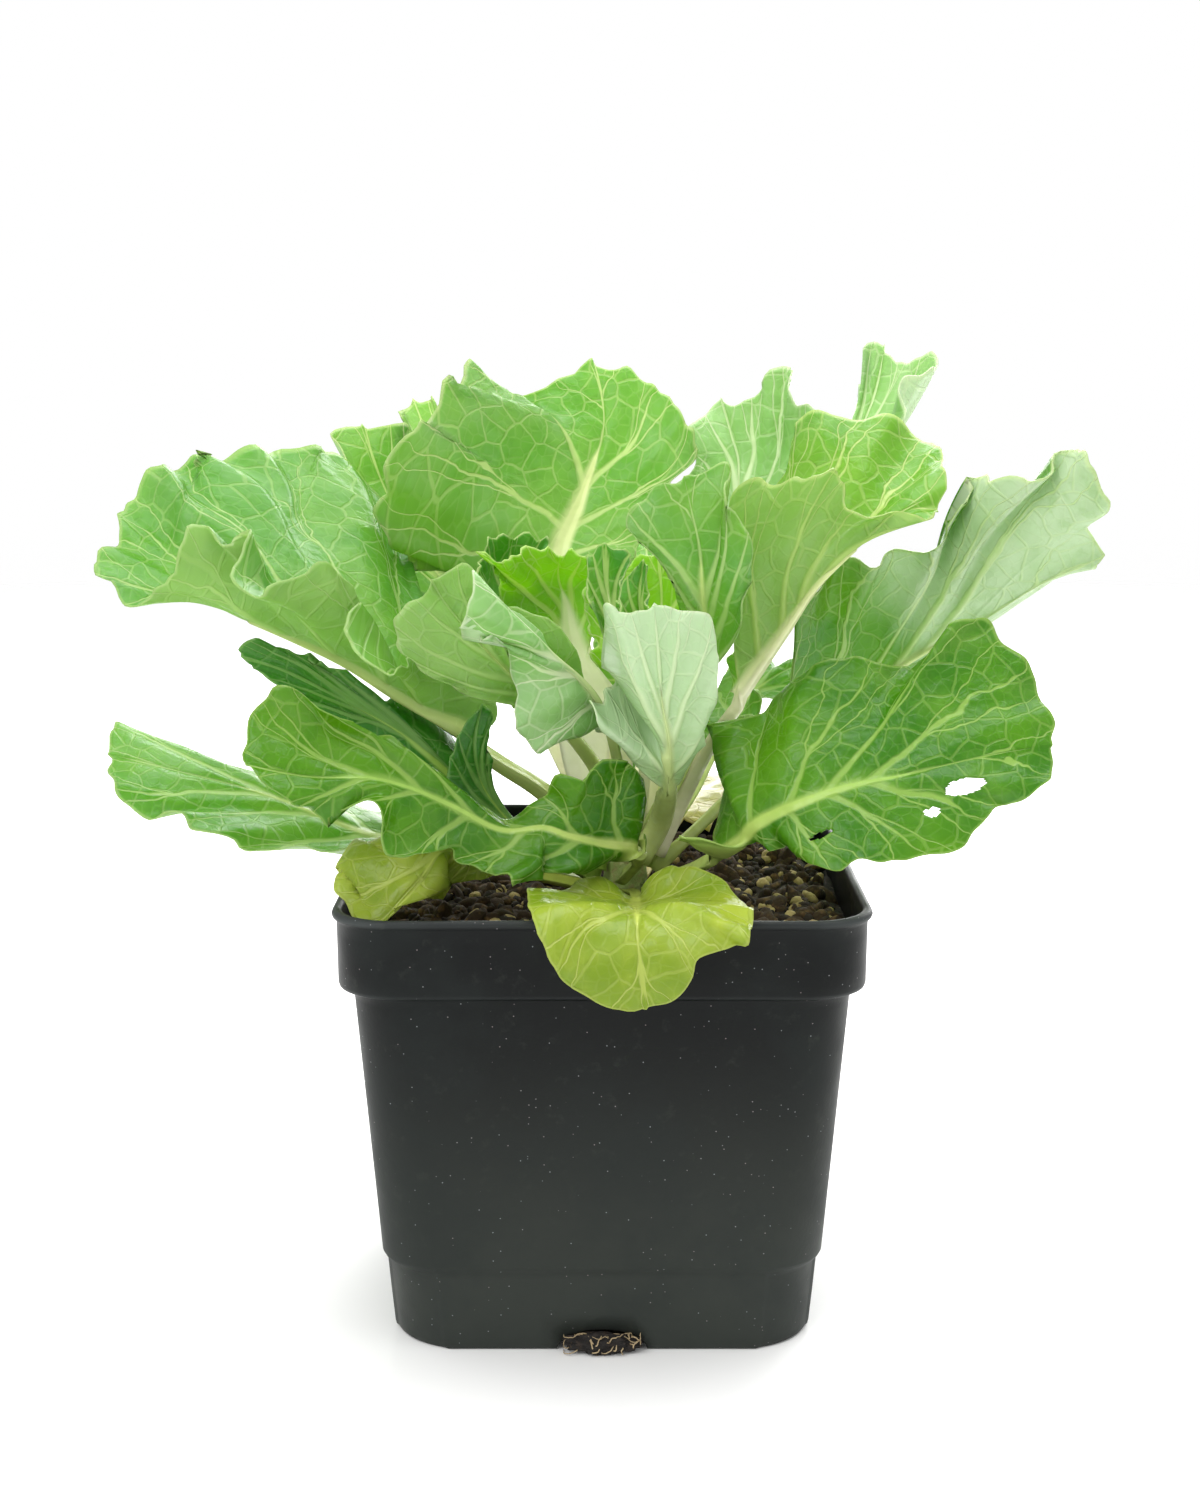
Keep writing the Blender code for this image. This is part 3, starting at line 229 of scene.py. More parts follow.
def injection_moulded_polypropylene():
    """Thin black polypropylene, moulded: soft gloss, dusty smears, pale specks, and sharp edges near the lip
    lightened grey, a painted highlight along the lip together with scuffing.
    """
    made, tree, shader = new_material("injection-moulded polypropylene",
                                      {"IOR": 1.49, "Specular IOR Level": 0.15})
    spot = place_mm(tree)
    height = add(tree, "SeparateXYZ", inputs={0: spot}, out="Z")
    smear = clouds(spot, 34.0, 4.0, 0.6)
    body = blend(steps(height, 4.0, 94.0), "2f332f", "070a0a")
    body = blend(steps(smear, 0.42, 0.68, 0.0, 0.4), body, "202524")
    body = blend(steps(clouds(spot, 5.0, 5.0, 0.65), 0.56, 0.75, 0.0, 0.3), body, "30342f")
    speck, tone = specks(spot, 1.7, 0.11, (0.55, 0.60))
    body = blend(speck * 0.7, body, blend(steps(tone, 0.6, 1.0), "8f9698", "8a7f80"))
    # painted highlight: sharp edges above 86 mm, on the lip and band, turn a paler grey that stands for the
    # bright line along the lip, together with scuffing
    worn = add(tree, "NewGeometry", out="Pointiness")
    scuffs_and_lip_highlight = steps(worn, 0.52, 0.60, 0.0, 0.45) * steps(height, 86.0, 90.0)
    grain = relief(clouds(spot, 0.9, 2.0), 0.25, 0.12)
    feed(shader, {"Base Color": blend(scuffs_and_lip_highlight, body, "6b7170"),
                  "Roughness": steps(smear, 0.3, 0.75, 0.36, 0.58),
                  "Normal": relief(clouds(spot, 28.0, 1.0), 0.5, 0.7, Normal=grain)})
    return made


def square_ring(half, radius, z, per_side, inset=0.0, bow=0.0):
    """Rounded square; inset pulls the corners in, bow lets the middle of each side lean inwards."""
    ring = []
    flat = half - radius
    for corner in range(4):
        turn = corner * QUARTER
        cx = math.copysign(flat, math.cos(turn + QUARTER / 2))
        cy = math.copysign(flat, math.sin(turn + QUARTER / 2))
        for k in range(PER_CORNER):
            a = turn + QUARTER * k / (PER_CORNER - 1)
            r = radius - inset * math.sin(math.pi * k / (PER_CORNER - 1)) ** 0.5
            ring.append((cx + r * math.cos(a), cy + r * math.sin(a), z))
        a = turn + QUARTER
        for k in range(1, per_side + 1):
            share = k / (per_side + 1)
            run, out = 2 * flat * share, radius - bow * math.sin(math.pi * share)
            ring.append((cx + out * math.cos(a) + run * math.cos(a + QUARTER),
                         cy + out * math.sin(a) + run * math.sin(a + QUARTER), z))
    return ring


def make_pot():
    """Square pot with a folded lip, a plain band, tapered walls, recessed foot corners and drain notches."""
    rings = []

    def level(half, radius, z, inset=0.0):
        rings.append(square_ring(half, radius, z, PER_SIDE, inset, SIDE_BOW * min(1.0, z / BOW_FULL_AT)))

    for z, half in OUTSIDE:
        level(half, BASE_CORNERS.get(z, CORNER), z, FOOT_INSET * min(1.0, max(0.0, (FOOT_TOP - z) / 1.8)))
    middle, r = (LIP_OUTSIDE + LIP_INSIDE) / 2, (LIP_OUTSIDE - LIP_INSIDE) / 2
    for k in range(LIP_STEPS + 1):
        a = math.pi * k / LIP_STEPS
        level(middle + r * math.cos(a), CORNER, LIP_BASE + r * math.sin(a))
    for z, half in INSIDE:
        level(half, CORNER_INSIDE, z, FOOT_INSET if z < FOOT_TOP else 0.0)
    pot = loft("nursery_pot", rings, POLYPROPYLENE)
    cutters = []
    for side in range(4):
        angle = side * QUARTER
        bpy.ops.mesh.primitive_cylinder_add(vertices=48, radius=1.0, depth=2.0)
        cutter = bpy.context.object
        cutter.rotation_euler = (QUARTER, 0, angle + QUARTER)
        cutter.scale = (NOTCH_HALF * MM, NOTCH_HEIGHT * MM, NOTCH_REACH * MM)
        cutter.location = (math.cos(angle) * FOOT_HALF * MM, math.sin(angle) * FOOT_HALF * MM, 0.0)
        cutters.append(cutter)
    bpy.context.view_layer.update()
    cut_away(pot, cutters)
    finish_piece(pot, "pot_plastic", "pot")


# potting mix, crown and roots

SOIL_TOP, SOIL_RINGS, SOIL_REACH, SOIL_CORNER = 102.3, 62, 57, 106
STEM_X, STEM_Y, STEM_CLEAR = 6.0, -4.0, 8
STEM_FOOT, STEM_LENGTH, STEM_RINGS, STEM_POINTS, STEM_RADIUS = 95.0, 22.8, 33, 40, 5.6
ROOTS, ROOT_THICK, ROOT_SWING = 13, 0.14, 0.5


def potting_mix(name, colours, speck="b9a98a", grit_mm=1.3, roughness=0.92):
    """Damp composted bark and peat: dark, matt and crumbly, with a few pale crumbs."""
    made, tree, shader = new_material(name, {"Roughness": roughness, "IOR": 1.45})
    spot = place_mm(tree)
    body = blend(clouds(spot, 7.0, 4.0, 0.6), colours[0], colours[1])
    body = blend(steps(clouds(spot, 2.2), 0.50, 0.72), body, colours[2])
    body = blend(steps(clouds(spot, grit_mm, 2.0), 0.66, 0.74, 0.0, 0.5), body, speck)
    feed(shader, {"Base Color": body, "Normal": relief(clouds(spot, 0.8, 4.0, 0.7), 0.9, 0.5)})
    return made


def soil_height(x, y):
    """Lumpy surface, sunk a little along the walls."""
    lump = noise.fractal(Vector((x / 13, y / 13, 3.1)), 1.0, 2.1, 4) * 1.15
    crumb = noise.fractal(Vector((x / 3.2, y / 3.2, 8.7)), 0.9, 2.2, 3) * 0.65
    wall = max(abs(x), abs(y))
    return SOIL_TOP + lump + crumb - 1.4 * max(0.0, (wall - 50) / 10) ** 2


def make_soil():
    """One block that fills the pot, with a crumbly top that closes around the stem."""
    rings = [square_ring(half, 12.0, z, SOIL_PER_SIDE) for z, half in SOIL_BLOCK]
    for k in range(SOIL_RINGS):
        half = 60.3 * (1 - k / SOIL_RINGS) ** 0.9 + 0.6
        edge = 1.2 if k == 0 else 0
        rings.append([])
        for x, y, _ in square_ring(half, min(CORNER, half * 0.45), 0.0, SOIL_PER_SIDE):
            x += STEM_X * k / SOIL_RINGS
            y += STEM_Y * k / SOIL_RINGS
            rings[-1].append((x, y, soil_height(x, y) - edge))
    finish_piece(loft("potting_mix", rings, DARK_MIX), "potting_mix", "soil")


def lumps(name, surface, seed, how_many, size, flat, stand):
    """Loose pieces strewn over the mix, each a small worn polyhedron sunk part of the way in."""
    chance = random.Random(seed)
    ball = bmesh.new()
    bmesh.ops.create_icosphere(ball, subdivisions=2, radius=1.0)
    ball.verts.index_update()
    shape = np.array([v.co[:] for v in ball.verts])
    sides = [tuple(v.index for v in side.verts) for side in ball.faces]
    ball.free()
    points, faces = [], []
    for _ in range(how_many):
        while True:
            x, y = chance.uniform(-SOIL_REACH, SOIL_REACH), chance.uniform(-SOIL_REACH, SOIL_REACH)
            if abs(x) + abs(y) < SOIL_CORNER and math.hypot(x - STEM_X, y - STEM_Y) > STEM_CLEAR:
                break
        radius = chance.uniform(*size)
        spin = Vector([chance.uniform(-1, 1) for _ in range(3)]).normalized()
        turn = np.array(Quaternion(spin, chance.uniform(0, 6.28)).to_matrix())
        axes = np.array([chance.uniform(0.8, 1.5), chance.uniform(0.6, 1.0), chance.uniform(*flat)])
        rough = np.array([1 + 0.28 * noise.noise(Vector(p * 1.7 + (x, y, radius))) for p in shape])
        own = (shape * axes * rough[:, None]) @ turn.T * radius
        own += (x, y, soil_height(x, y) + stand * radius)
        faces += [tuple(v + len(points) for v in side) for side in sides]
        points += own.tolist()
    finish_piece(mesh_object(name, points, faces, surface), "potting_mix")


def make_stem():
    """Crown with the scars of old stalks: a light green rod above the mix, rounded off at the top."""
    rings = []
    for k in range(STEM_RINGS + 1):
        z = STEM_FOOT + STEM_LENGTH * k / STEM_RINGS
        swell = STEM_RADIUS - 0.6 * max(0.0, z - 106) / 11.8
        swell *= (1, 0.86, 0.6, 0.25)[max(0, k - STEM_RINGS + 3)]
        rings.append([])
        for m in range(STEM_POINTS):
            a = 2 * math.pi * m / STEM_POINTS
            r = swell + 0.35 * noise.noise(Vector((3 * math.cos(a), 3 * math.sin(a), z / 2.2)))
            rings[-1].append((STEM_X + r * math.cos(a), STEM_Y + r * math.sin(a), z))
    finish_piece(loft("crown_stem", rings, STEM_SKIN), "kale_stem", "stem")


def make_roots():
    """Clod in the drain notch with fine pale roots that wander over it and out of it."""
    chance = random.Random(23)
    bpy.ops.mesh.primitive_ico_sphere_add(subdivisions=5, radius=1.0)
    clod = bpy.context.object
    clod.name = "root_clod"
    clod.data.materials.append(WET_MIX)
    for v in clod.data.vertices:
        swell = 1.0 + 0.30 * noise.fractal(v.co * 2.4, 0.8, 2.1, 5)
        droop = 1.0 + 0.25 * noise.noise(v.co * 1.3 + Vector((4, 0, 0)))
        v.co = Vector((v.co.x * 8.6 * swell, v.co.y * 2.6 * swell * droop - 52.8,
                       v.co.z * 2.4 * swell * droop + 2.4)) * MM
        v.co.z = max(v.co.z, 0.3 * MM)
    clod.data.shade_smooth()
    finish_piece(clod, "potting_mix", "root_tuft")
    curve = bpy.data.curves.new("fine_roots", "CURVE")
    curve.dimensions = "3D"
    curve.bevel_depth = ROOT_THICK * MM
    curve.bevel_resolution = 1
    curve.materials.append(ROOT_SKIN)
    for _ in range(ROOTS):
        x, z = chance.uniform(-8.5, 8.5), chance.uniform(0.6, 4.4)
        bends = chance.randint(4, 7) * 4
        spline = curve.splines.new("POLY")
        spline.points.add(bends)
        heading = chance.uniform(0, math.pi)
        for k in range(bends + 1):
            out = -54.6 - 1.5 * math.sin(k / 3 + heading) + x * x / 60 + 0.9 * (z > 4.0)
            spline.points[k].co = (x * MM, out * MM, z * MM, 1)
            spline.points[k].radius = 1.25 - 0.8 * k / bends
            heading += chance.uniform(-ROOT_SWING, ROOT_SWING)
            x = min(9.3, max(-9.3, x + 0.55 * math.cos(heading)))
            z = min(4.6, max(0.35, z + 0.35 * math.sin(heading)))
    roots = bpy.data.objects.new("fine_roots", curve)
    bpy.context.scene.collection.objects.link(roots)
    finish_piece(roots, "fine_roots")


# leaf skin

def kale_leaf(name, colours, glow_share=0.5, marks=0.0, turned=None):
    """Living leaf: waxy skin over a net of pale veins, with light that comes through the blade.

    Of the colours, deep and light mottle the upper side, bloom is the wax on it, under the lower side, veins
    the net and the margin, rib_foot and rib_head the stalk and midrib, and glow the light from behind.
    marks is how dark the old specks are. turned is how far along the leaf the painted shade on the lower
    side reaches;
    before that the lower side takes the darker colours of the upper side, as painted shade.
    """
    deep, light, bloom, under, veins, rib_foot, rib_head, glow = colours.split()
    made, tree, shader = new_material("kale leaf, " + name, {"IOR": 1.42})
    flat, line, skin = (add(tree, "Attribute", {"attribute_name": label}, out="Vector")
                        for label in ("leaf_flat", "leaf_vein", "leaf_skin"))
    turn, gap, outward = add(tree, "SeparateXYZ", inputs={0: line}, out=("X", "Y", "Z"))
    upper, rib, run = add(tree, "SeparateXYZ", inputs={0: skin}, out=("X", "Y", "Z"))

    wander, wander_aside = clouds(flat, 9.0, 2.0, out=(0, "Color"))
    slow = clouds(flat, 21.0, 1.0)
    shift = add(tree, "VectorMath", {"operation": "MULTIPLY_ADD"},
                {0: wander_aside, 1: (3.4, 3.4, 3.4), 2: flat})
    sway = (slow - 0.5) * 0.6 * outward
    aside = (turn + ((wander - 0.5) * 0.26 + sway)).reckon("PINGPONG", 0.5)
    parting = steps(outward + (slow - 0.5), 0.32, 1.0, 0.0, 0.29, smooth=False)

    def stripe(away, wide_at_rib, wide_at_margin):
        """Mask of a vein from how far it is in turns, by its half width in millimetres."""
        wide = steps(outward, 0.0, 1.0, wide_at_rib, wide_at_margin, smooth=False)
        return steps(away * gap / wide, 0.45, 1.5, 1.0, 0.0)

    def net(size_mm, wide):
        """Mask of the mesh of small veins around fields of about size_mm."""
        edge = add(tree, "TexVoronoi", {"feature": "DISTANCE_TO_EDGE", "voronoi_dimensions": "2D"},
                   {"Vector": shift, "Scale": 1 / size_mm, "Randomness": 0.9}, "Distance")
        return steps(edge * size_mm, wide * 0.3, wide, 1.0, 0.0)

    forks = stripe((aside - parting).reckon("ABSOLUTE"), 0.38, 0.14) * steps(gap, 5.0, 10.0)
    off_rib = steps(rib, 0.0, 1.0, 1.0, 0.0, smooth=False)
    strong = (stripe(aside, 1.0, 0.13) | forks) * off_rib
    weak = (net(7.5, 0.46) | net(3.0, 0.32) * 0.25) * off_rib
    vein = strong | weak * 0.42

    patches = clouds(flat, 26.0, 3.0, 0.55)
    mottle = clouds(flat, 4.5, 4.0, 0.6)
    top = blend(steps(patches, 0.36, 0.66), deep, light)
    top = blend(steps(mottle, 0.45, 0.75, 0.0, 0.30), top, light)
    top = blend(steps(clouds(flat, 17.0, 4.0, 0.6), 0.42, 0.72, 0.05, 0.55), top, bloom)
    low = blend(steps(patches, 0.35, 0.7, 0.0, 0.35), under, light)
    low = blend(steps(mottle, 0.5, 0.75, 0.0, 0.3), low, bloom)
    # painted shade: up to turned, the lower side takes the darker colours of the upper side, standing for
    # shade near the stalk
    if turned:
        low = blend(steps(run, turned, turned + 0.12), top, low)
    body = blend(upper, low, top)
    body = blend(vein * steps(upper, 0.0, 1.0, 0.45, 0.76), body, veins)
    body = blend(steps(outward, 0.0, 0.14, 0.25, 0.0), body, veins)
    body = blend(steps(outward, 0.975, 0.995, 0.0, 0.65), body, veins)
    stalk = blend(steps(run, 0.12, 0.75), rib_foot, rib_head)
    stalk = blend(steps(clouds(flat, 3.0, 2.0), 0.4, 0.7, 0.0, 0.25), stalk, rib_head)
    body = blend(rib, body, stalk)
    if marks:
        body = blend(specks(flat, 8.0, 0.10, (0.74, 0.78))[0] * marks, body, "6d5a2c")

    rise = (strong | weak * 0.55) * steps(upper, 0.0, 1.0, 1.0, -0.8, smooth=False)
    sunken = relief(rise + clouds(flat, 1.4, 2.0) * 0.22, 0.55, 0.5)
    pucker = relief(clouds(flat, 7.0, 2.0), 0.6, 1.6, Normal=sunken)
    feed(shader, {"Base Color": body, "Roughness": blend(mottle, "747474", "9a9a9a"), "Normal": pucker})

    through = blend(rib * 0.7, blend(vein * 0.55, glow, veins), rib_foot)
    lit = add(tree, "BsdfTranslucent", inputs={"Color": through, "Normal": pucker})
    cover(tree, steps(rib, 0.0, 1.0, glow_share, glow_share * 0.4, smooth=False), shader, lit)
    return made


# leaf shape

SAMPLES, GUIDES, NUDGE = 241, 401, 0.003
FEWEST_ROWS, MOST_ROWS, FEWEST_COLUMNS, MOST_COLUMNS, RIB_COLUMNS = 22, 150, 9, 42, 4
SIDE_VEIN_SPACING, STALK_STEP, PATTERN_SHIFT = 17, 2.2, 7.0
MARGIN_THICK, FOOT_THICK, VEIN_RIDGE, PUFF = 0.42, 0.62, 0.55, 0.75


def along(values, u):
    """Smooth curve through evenly spaced values, read at u from 0 to 1."""
    v = np.asarray(values, float)
    n = len(v) - 1
    x = np.clip(np.asarray(u, float), 0.0, 1.0) * n
    i = np.minimum(x.astype(int), n - 1)
    f = x - i
    if v.ndim > 1:
        f = f[..., None]
    a, b, c, d = v[np.maximum(i - 1, 0)], v[i], v[i + 1], v[np.minimum(i + 2, n)]
    return b + 0.5 * f * (c - a + f * (2 * a - 5 * b + 4 * c - d + f * (3 * (b - c) + d - a)))


def unit(vectors):
    """The same directions with length 1."""
    return vectors / np.maximum(np.linalg.norm(vectors, axis=-1), 1e-9)[..., None]


def travelled(points):
    """Length of the way from the first point to each."""
    return np.concatenate([[0], np.cumsum(np.linalg.norm(np.diff(points, axis=0), axis=1))])


class Leaf:
    """One leaf, laid out flat as a fan of lines from the rib to the margin and then bent into place.

    rib: points from the stem to the tip. face: where the upper side looks, from stem to tip.
    stalk: bare length before the blade. width, thick: half width and depth of the rib at the stem, at the
    foot of the blade and at the tip. fork: how far along the blade the last fan line starts. The margin
    lists run from the left foot of the blade over the tip to the right foot, evenly spaced: reach (length
    of the fan line), lean (degrees from straight ahead), wave (lift of the margin off the blade), fold
    (degrees the blade rises from the rib) and curl (more turn towards the margin).
    """

    def __init__(self, rib, face, stalk, reach, lean, wave, width=(2.4, 1.8, 0.5), thick=(3, 2.2, 0.75),
                 fork=0.62, fold=(0, 0), curl=(0, 0)):
        drawn = along(rib, np.linspace(0, 1, SAMPLES))
        run = travelled(drawn)
        self.length = run[-1]
        self.run = np.linspace(0, self.length, SAMPLES)
        self.path = np.stack([np.interp(self.run, run, drawn[:, k]) for k in range(3)], 1)
        self.ahead = unit(np.gradient(self.path, self.run, axis=0))
        up = along(face, self.run / self.length)
        self.up = unit(up - (up * self.ahead).sum(1)[:, None] * self.ahead)
        self.stalk, self.width, self.thick = stalk, width, thick
        self.last = stalk + fork * (self.length - stalk)
        self.fold, self.curl, self.reach, self.lean, self.wave = fold, curl, reach, lean, wave

    def frame(self, a):
        """Point of the rib at length a, with the directions up and to the right."""
        held = np.clip(a, 0, self.length)
        p, t, n = (np.stack([np.interp(held, self.run, table[:, k]) for k in range(3)], -1)
                   for table in (self.path, self.ahead, self.up))
        t = unit(t)
        n = unit(n - (n * t).sum(-1)[..., None] * t)
        return p + (a - held)[..., None] * t, n, np.cross(t, n)

    def taper(self, a, sizes):
        """Size of the rib at length a."""
        at_stem, at_blade, at_tip = sizes
        x = np.clip((a - self.stalk) / (self.length - self.stalk), 0, 1)
        stalk = at_stem + (at_blade - at_stem) * np.clip(a / self.stalk, 0, 1)
        return np.where(a < self.stalk, stalk, at_tip + (at_blade - at_tip) * (1 - x) ** 1.4)

    def flat(self, u, r):
        """Length along the rib, distance from it, reach of the fan line and where the line starts."""
        around = (u + 1) / 2
        reach = along(self.reach, around)
        lean = along(self.lean, around) * np.minimum(np.abs(u) / 0.03, 1)
        lean = np.radians(np.maximum(lean, 30 * np.minimum(np.abs(u), 0.2)))
        start = self.stalk + (1 - np.abs(u)) * (self.last - self.stalk)
        return start + r * reach * np.cos(lean), r * reach * np.sin(lean), reach, start

    def place(self, u, r):
        """Point of the upper side and where it faces; u runs from -1 at the left foot to 1 at the right."""
        a, b, reach, _ = self.flat(u, r)
        p, n, right = self.frame(a)
        around = (u + 1) / 2
        hand = np.where(u < 0, -1.0, 1.0)[..., None]
        fold = np.radians(along(self.fold, around))
        turn = np.radians(along(self.curl, around)) / np.maximum(reach, 1)
        turn = np.where(np.abs(turn) < 1e-5, 1e-5, turn)
        end = fold + turn * b
        out = ((np.sin(end) - np.sin(fold)) / turn)[..., None]
        rise = ((np.cos(fold) - np.cos(end)) / turn)[..., None]
        up = np.cos(end)[..., None] * n - hand * np.sin(end)[..., None] * right
        lift = (along(self.wave, around) * r ** 2.2)[..., None]
        return p + hand * out * right + rise * n + lift * up, up

    def fan(self, spacing):
        """Where the fan lines stand from foot to foot, and how far along the margin each one ends."""
        guide = np.linspace(-1, 1, GUIDES)
        run = travelled(self.place(guide, np.ones(GUIDES))[0])
        rows = int(np.clip(run[-1] / spacing / 2, FEWEST_ROWS, MOST_ROWS))
        tip = run[GUIDES // 2]
        stops = np.concatenate([np.linspace(0, tip, rows + 1), np.linspace(tip, run[-1], rows + 1)[1:]])
        us = 0.6 * np.interp(stops, run, guide) + 0.4 * np.linspace(-1, 1, 2 * rows + 1)
        us = (us - us[::-1]) / 2
        return us, np.interp(us, guide, run), run[-1]

    def shape(self, seed, frill, teeth, spacing, holes):
        """Fine closed blade with its rib and stalk.

        Returns the faces and a table with a row for each point: its place, then its place on the flat leaf,
        then vein number, gap between side veins and way out, then upper side, rib and way along.
        A hole is eaten through at (way along, way across, half length, half width).
        """
        chance = np.random.default_rng(seed)
        us, met, around = self.fan(spacing)
        lines = len(us)
        columns = int(np.clip(max(self.reach) / (spacing * 1.25), FEWEST_COLUMNS, MOST_COLUMNS))
        across = RIB_COLUMNS + columns

        def rough_line(pitch, swing):
            """Uneven wave along the margin, with a random value every pitch millimetres."""
            return along(chance.uniform(-swing, swing, max(4, int(around / pitch))), met / around)

        pitch = float(np.clip(around / 20, 3.0, 8.5))
        ruffle = rough_line(pitch, frill) + rough_line(pitch * 0.52, frill * 0.55)
        nick = rough_line(pitch * 0.65, teeth) + rough_line(2.6, teeth * 0.5)
        side_count = max(3, round((self.last - self.stalk) / SIDE_VEIN_SPACING + 1.8))
        knots = np.cumsum(np.concatenate([[0], chance.uniform(0.7, 1.4, side_count)]))
        knots, numbers = knots / knots[-1], np.arange(side_count + 1)
        reach, start = self.flat(us, np.zeros(lines))[2:]
        rib_half = self.taper(start, self.width)
        edge = np.minimum(rib_half / reach, 0.45)[:, None]
        r = np.concatenate([edge * np.arange(RIB_COLUMNS + 1) / RIB_COLUMNS,
                            edge + (1 - edge) * (np.arange(1, columns + 1) / columns) ** 0.92], 1)
        u, turns = (np.repeat(v[:, None], across + 1, 1)
                    for v in (us, np.interp(np.abs(us), knots, numbers)))
        spread = r + np.clip(nick / reach, -0.08, 0.08)[:, None] * np.clip((r - 0.6) / 0.4, 0, 1) ** 2
        points, above = self.place(u, spread)
        before, after = np.clip(u - NUDGE, -1, 1), np.clip(u + NUDGE, -1, 1)
        nearer, further = np.maximum(spread - NUDGE, 0), spread + NUDGE
        by_u = (self.place(after, spread)[0] - self.place(before, spread)[0]) / (after - before)[..., None]
        by_r = (self.place(u, further)[0] - self.place(u, nearer)[0]) / (further - nearer)[..., None]
        skin = np.cross(by_u, by_r)
        gap = np.linalg.norm(skin, axis=2) / np.maximum(np.linalg.norm(by_r, axis=2), 1e-6)
        gap /= np.interp(np.abs(us), knots, np.gradient(numbers, knots))[:, None]
        skin = unit(unit(skin) * np.sign((skin * above).sum(2))[..., None] + 0.4 * above)
        skin[:, 0] = above[:, 0]

        off_rib = np.clip(r * reach[:, None] / rib_half[:, None], 0, 9)
        free = np.clip((off_rib - 1) / 3, 0, 1) * np.clip((1 - r) * 6, 0, 1)
        puff = PUFF * np.sin(np.pi * (turns % 1.0)) ** 2 * free * np.clip(gap / 7, 0, 1)
        points = points + skin * (puff + ruffle[:, None] * spread ** 5)[..., None]
        a, b = self.flat(u, spread)[:2]
        blade = FOOT_THICK + (MARGIN_THICK - FOOT_THICK) * r
        depth = blade + np.maximum(self.taper(a, self.thick) - blade, 0) * (
            np.sqrt(np.clip(1 - off_rib ** 2, 0, 1)) * 0.75 + 0.25 * np.clip(1.35 - off_rib, 0, 1))
        vein = np.clip(1 - np.abs((turns + 0.5) % 1.0 - 0.5) * gap, 0, 1)
        depth = depth + VEIN_RIDGE * vein * np.clip(1 - r, 0, 1) * (off_rib > 1)

        side = b * np.where(u < 0, -1.0, 1.0)
        own_pattern = PATTERN_SHIFT * seed
        ribness = np.clip((1.35 - off_rib) / 0.5, 0, 1)
        rest = (side, np.full_like(a, own_pattern), turns, gap, r)
        top, bottom = (np.dstack([place, a, *rest, np.full_like(a, upper), ribness, a / self.length])
                       for place, upper in ((points, 1), (points - skin * depth[..., None], 0)))

        ids = np.arange(a.size).reshape(a.shape)
        tip = lines // 2
        ids[tip + 1:, 0] = ids[tip - 1::-1, 0]
        off_holes = [((a - at) / long) ** 2 + ((side - aside) / wide) ** 2
                     for at, aside, long, wide in holes]
        faces = sewn(ids, a.size, off_holes)
        ring = ids[0, RIB_COLUMNS::-1].tolist() + ids[-1, 1:RIB_COLUMNS + 1].tolist()
        ring += [a.size + v for v in reversed(ring)]
        rows, walls = self.bare_stalk(ring, 2 * a.size, own_pattern)
        return faces + walls, np.concatenate([top.reshape(-1, 12), bottom.reshape(-1, 12), *rows])

    def bare_stalk(self, ring, count, own_pattern):
        """Stalk down from the ring of points at the foot of the blade: rows for the table, and faces."""
        shares = np.arange(-RIB_COLUMNS, RIB_COLUMNS + 1) / RIB_COLUMNS
        m = len(ring)
        rows, faces = [], []
        for a in np.linspace(self.stalk, 0, max(8, int(self.stalk / STALK_STEP)) + 1)[1:]:
            centre, up, right = (v[0] for v in self.frame(np.array([a])))
            wide, deep = (float(self.taper(a, sizes)) for sizes in (self.width, self.thick))
            sag = -0.12 * deep * (1 - shares ** 2)
            down = -deep * (0.3 + 0.7 * np.sqrt(np.clip(1 - shares ** 2, 0, 1)))
            bank = np.concatenate([shares * wide, shares[::-1] * wide * 0.9])
            own = centre + right * bank[:, None] + up * np.concatenate([sag, down[::-1]])[:, None]
            fresh = list(range(count, count + m))
            faces += [(ring[k], ring[(k + 1) % m], fresh[(k + 1) % m], fresh[k]) for k in range(m)]
            values = np.tile((a, 0, own_pattern, 0.5, 9.0, 0.0, 1, 1, a / self.length), (m, 1))
            values[:, 1] = bank
            values[m // 2:, 6] = 0
            rows.append(np.hstack([own, values]))
            ring, count = fresh, count + m
        return rows, faces + [tuple(ring)]


def sewn(ids, under, off_holes):
    """Faces of a blade: upper side, lower side and the walls along the margin, the foot and the holes.

    ids number the upper points line by line, and under is how much further on the lower ones are numbered.
    Each of off_holes says how far every point is from a hole: 1 at its rim, less inside.
    """
    quads = np.stack([ids[:-1, :-1], ids[:-1, 1:], ids[1:, 1:], ids[1:, :-1]], 2).reshape(-1, 4)
    eaten = np.zeros(len(quads), bool)
    for off in off_holes:
        eaten |= off.ravel()[quads].mean(1) < 1
    faces = [tuple(dict.fromkeys(f)) for f in quads[~eaten].tolist()]
    faces += [tuple(under + v for v in reversed(f)) for f in faces]
    gone = {(f[k], f[k - 3]) for f in quads[eaten].tolist() for k in range(4)}
    borders = [(w, v) for v, w in gone if (w, v) not in gone]
    for border in (ids[:, -1], ids[0, RIB_COLUMNS:], ids[-1, :RIB_COLUMNS - 1:-1]):
        borders += zip(border[:-1].tolist(), border[1:].tolist())
    return faces + [(w, v, under + v, under + w) for v, w in borders]


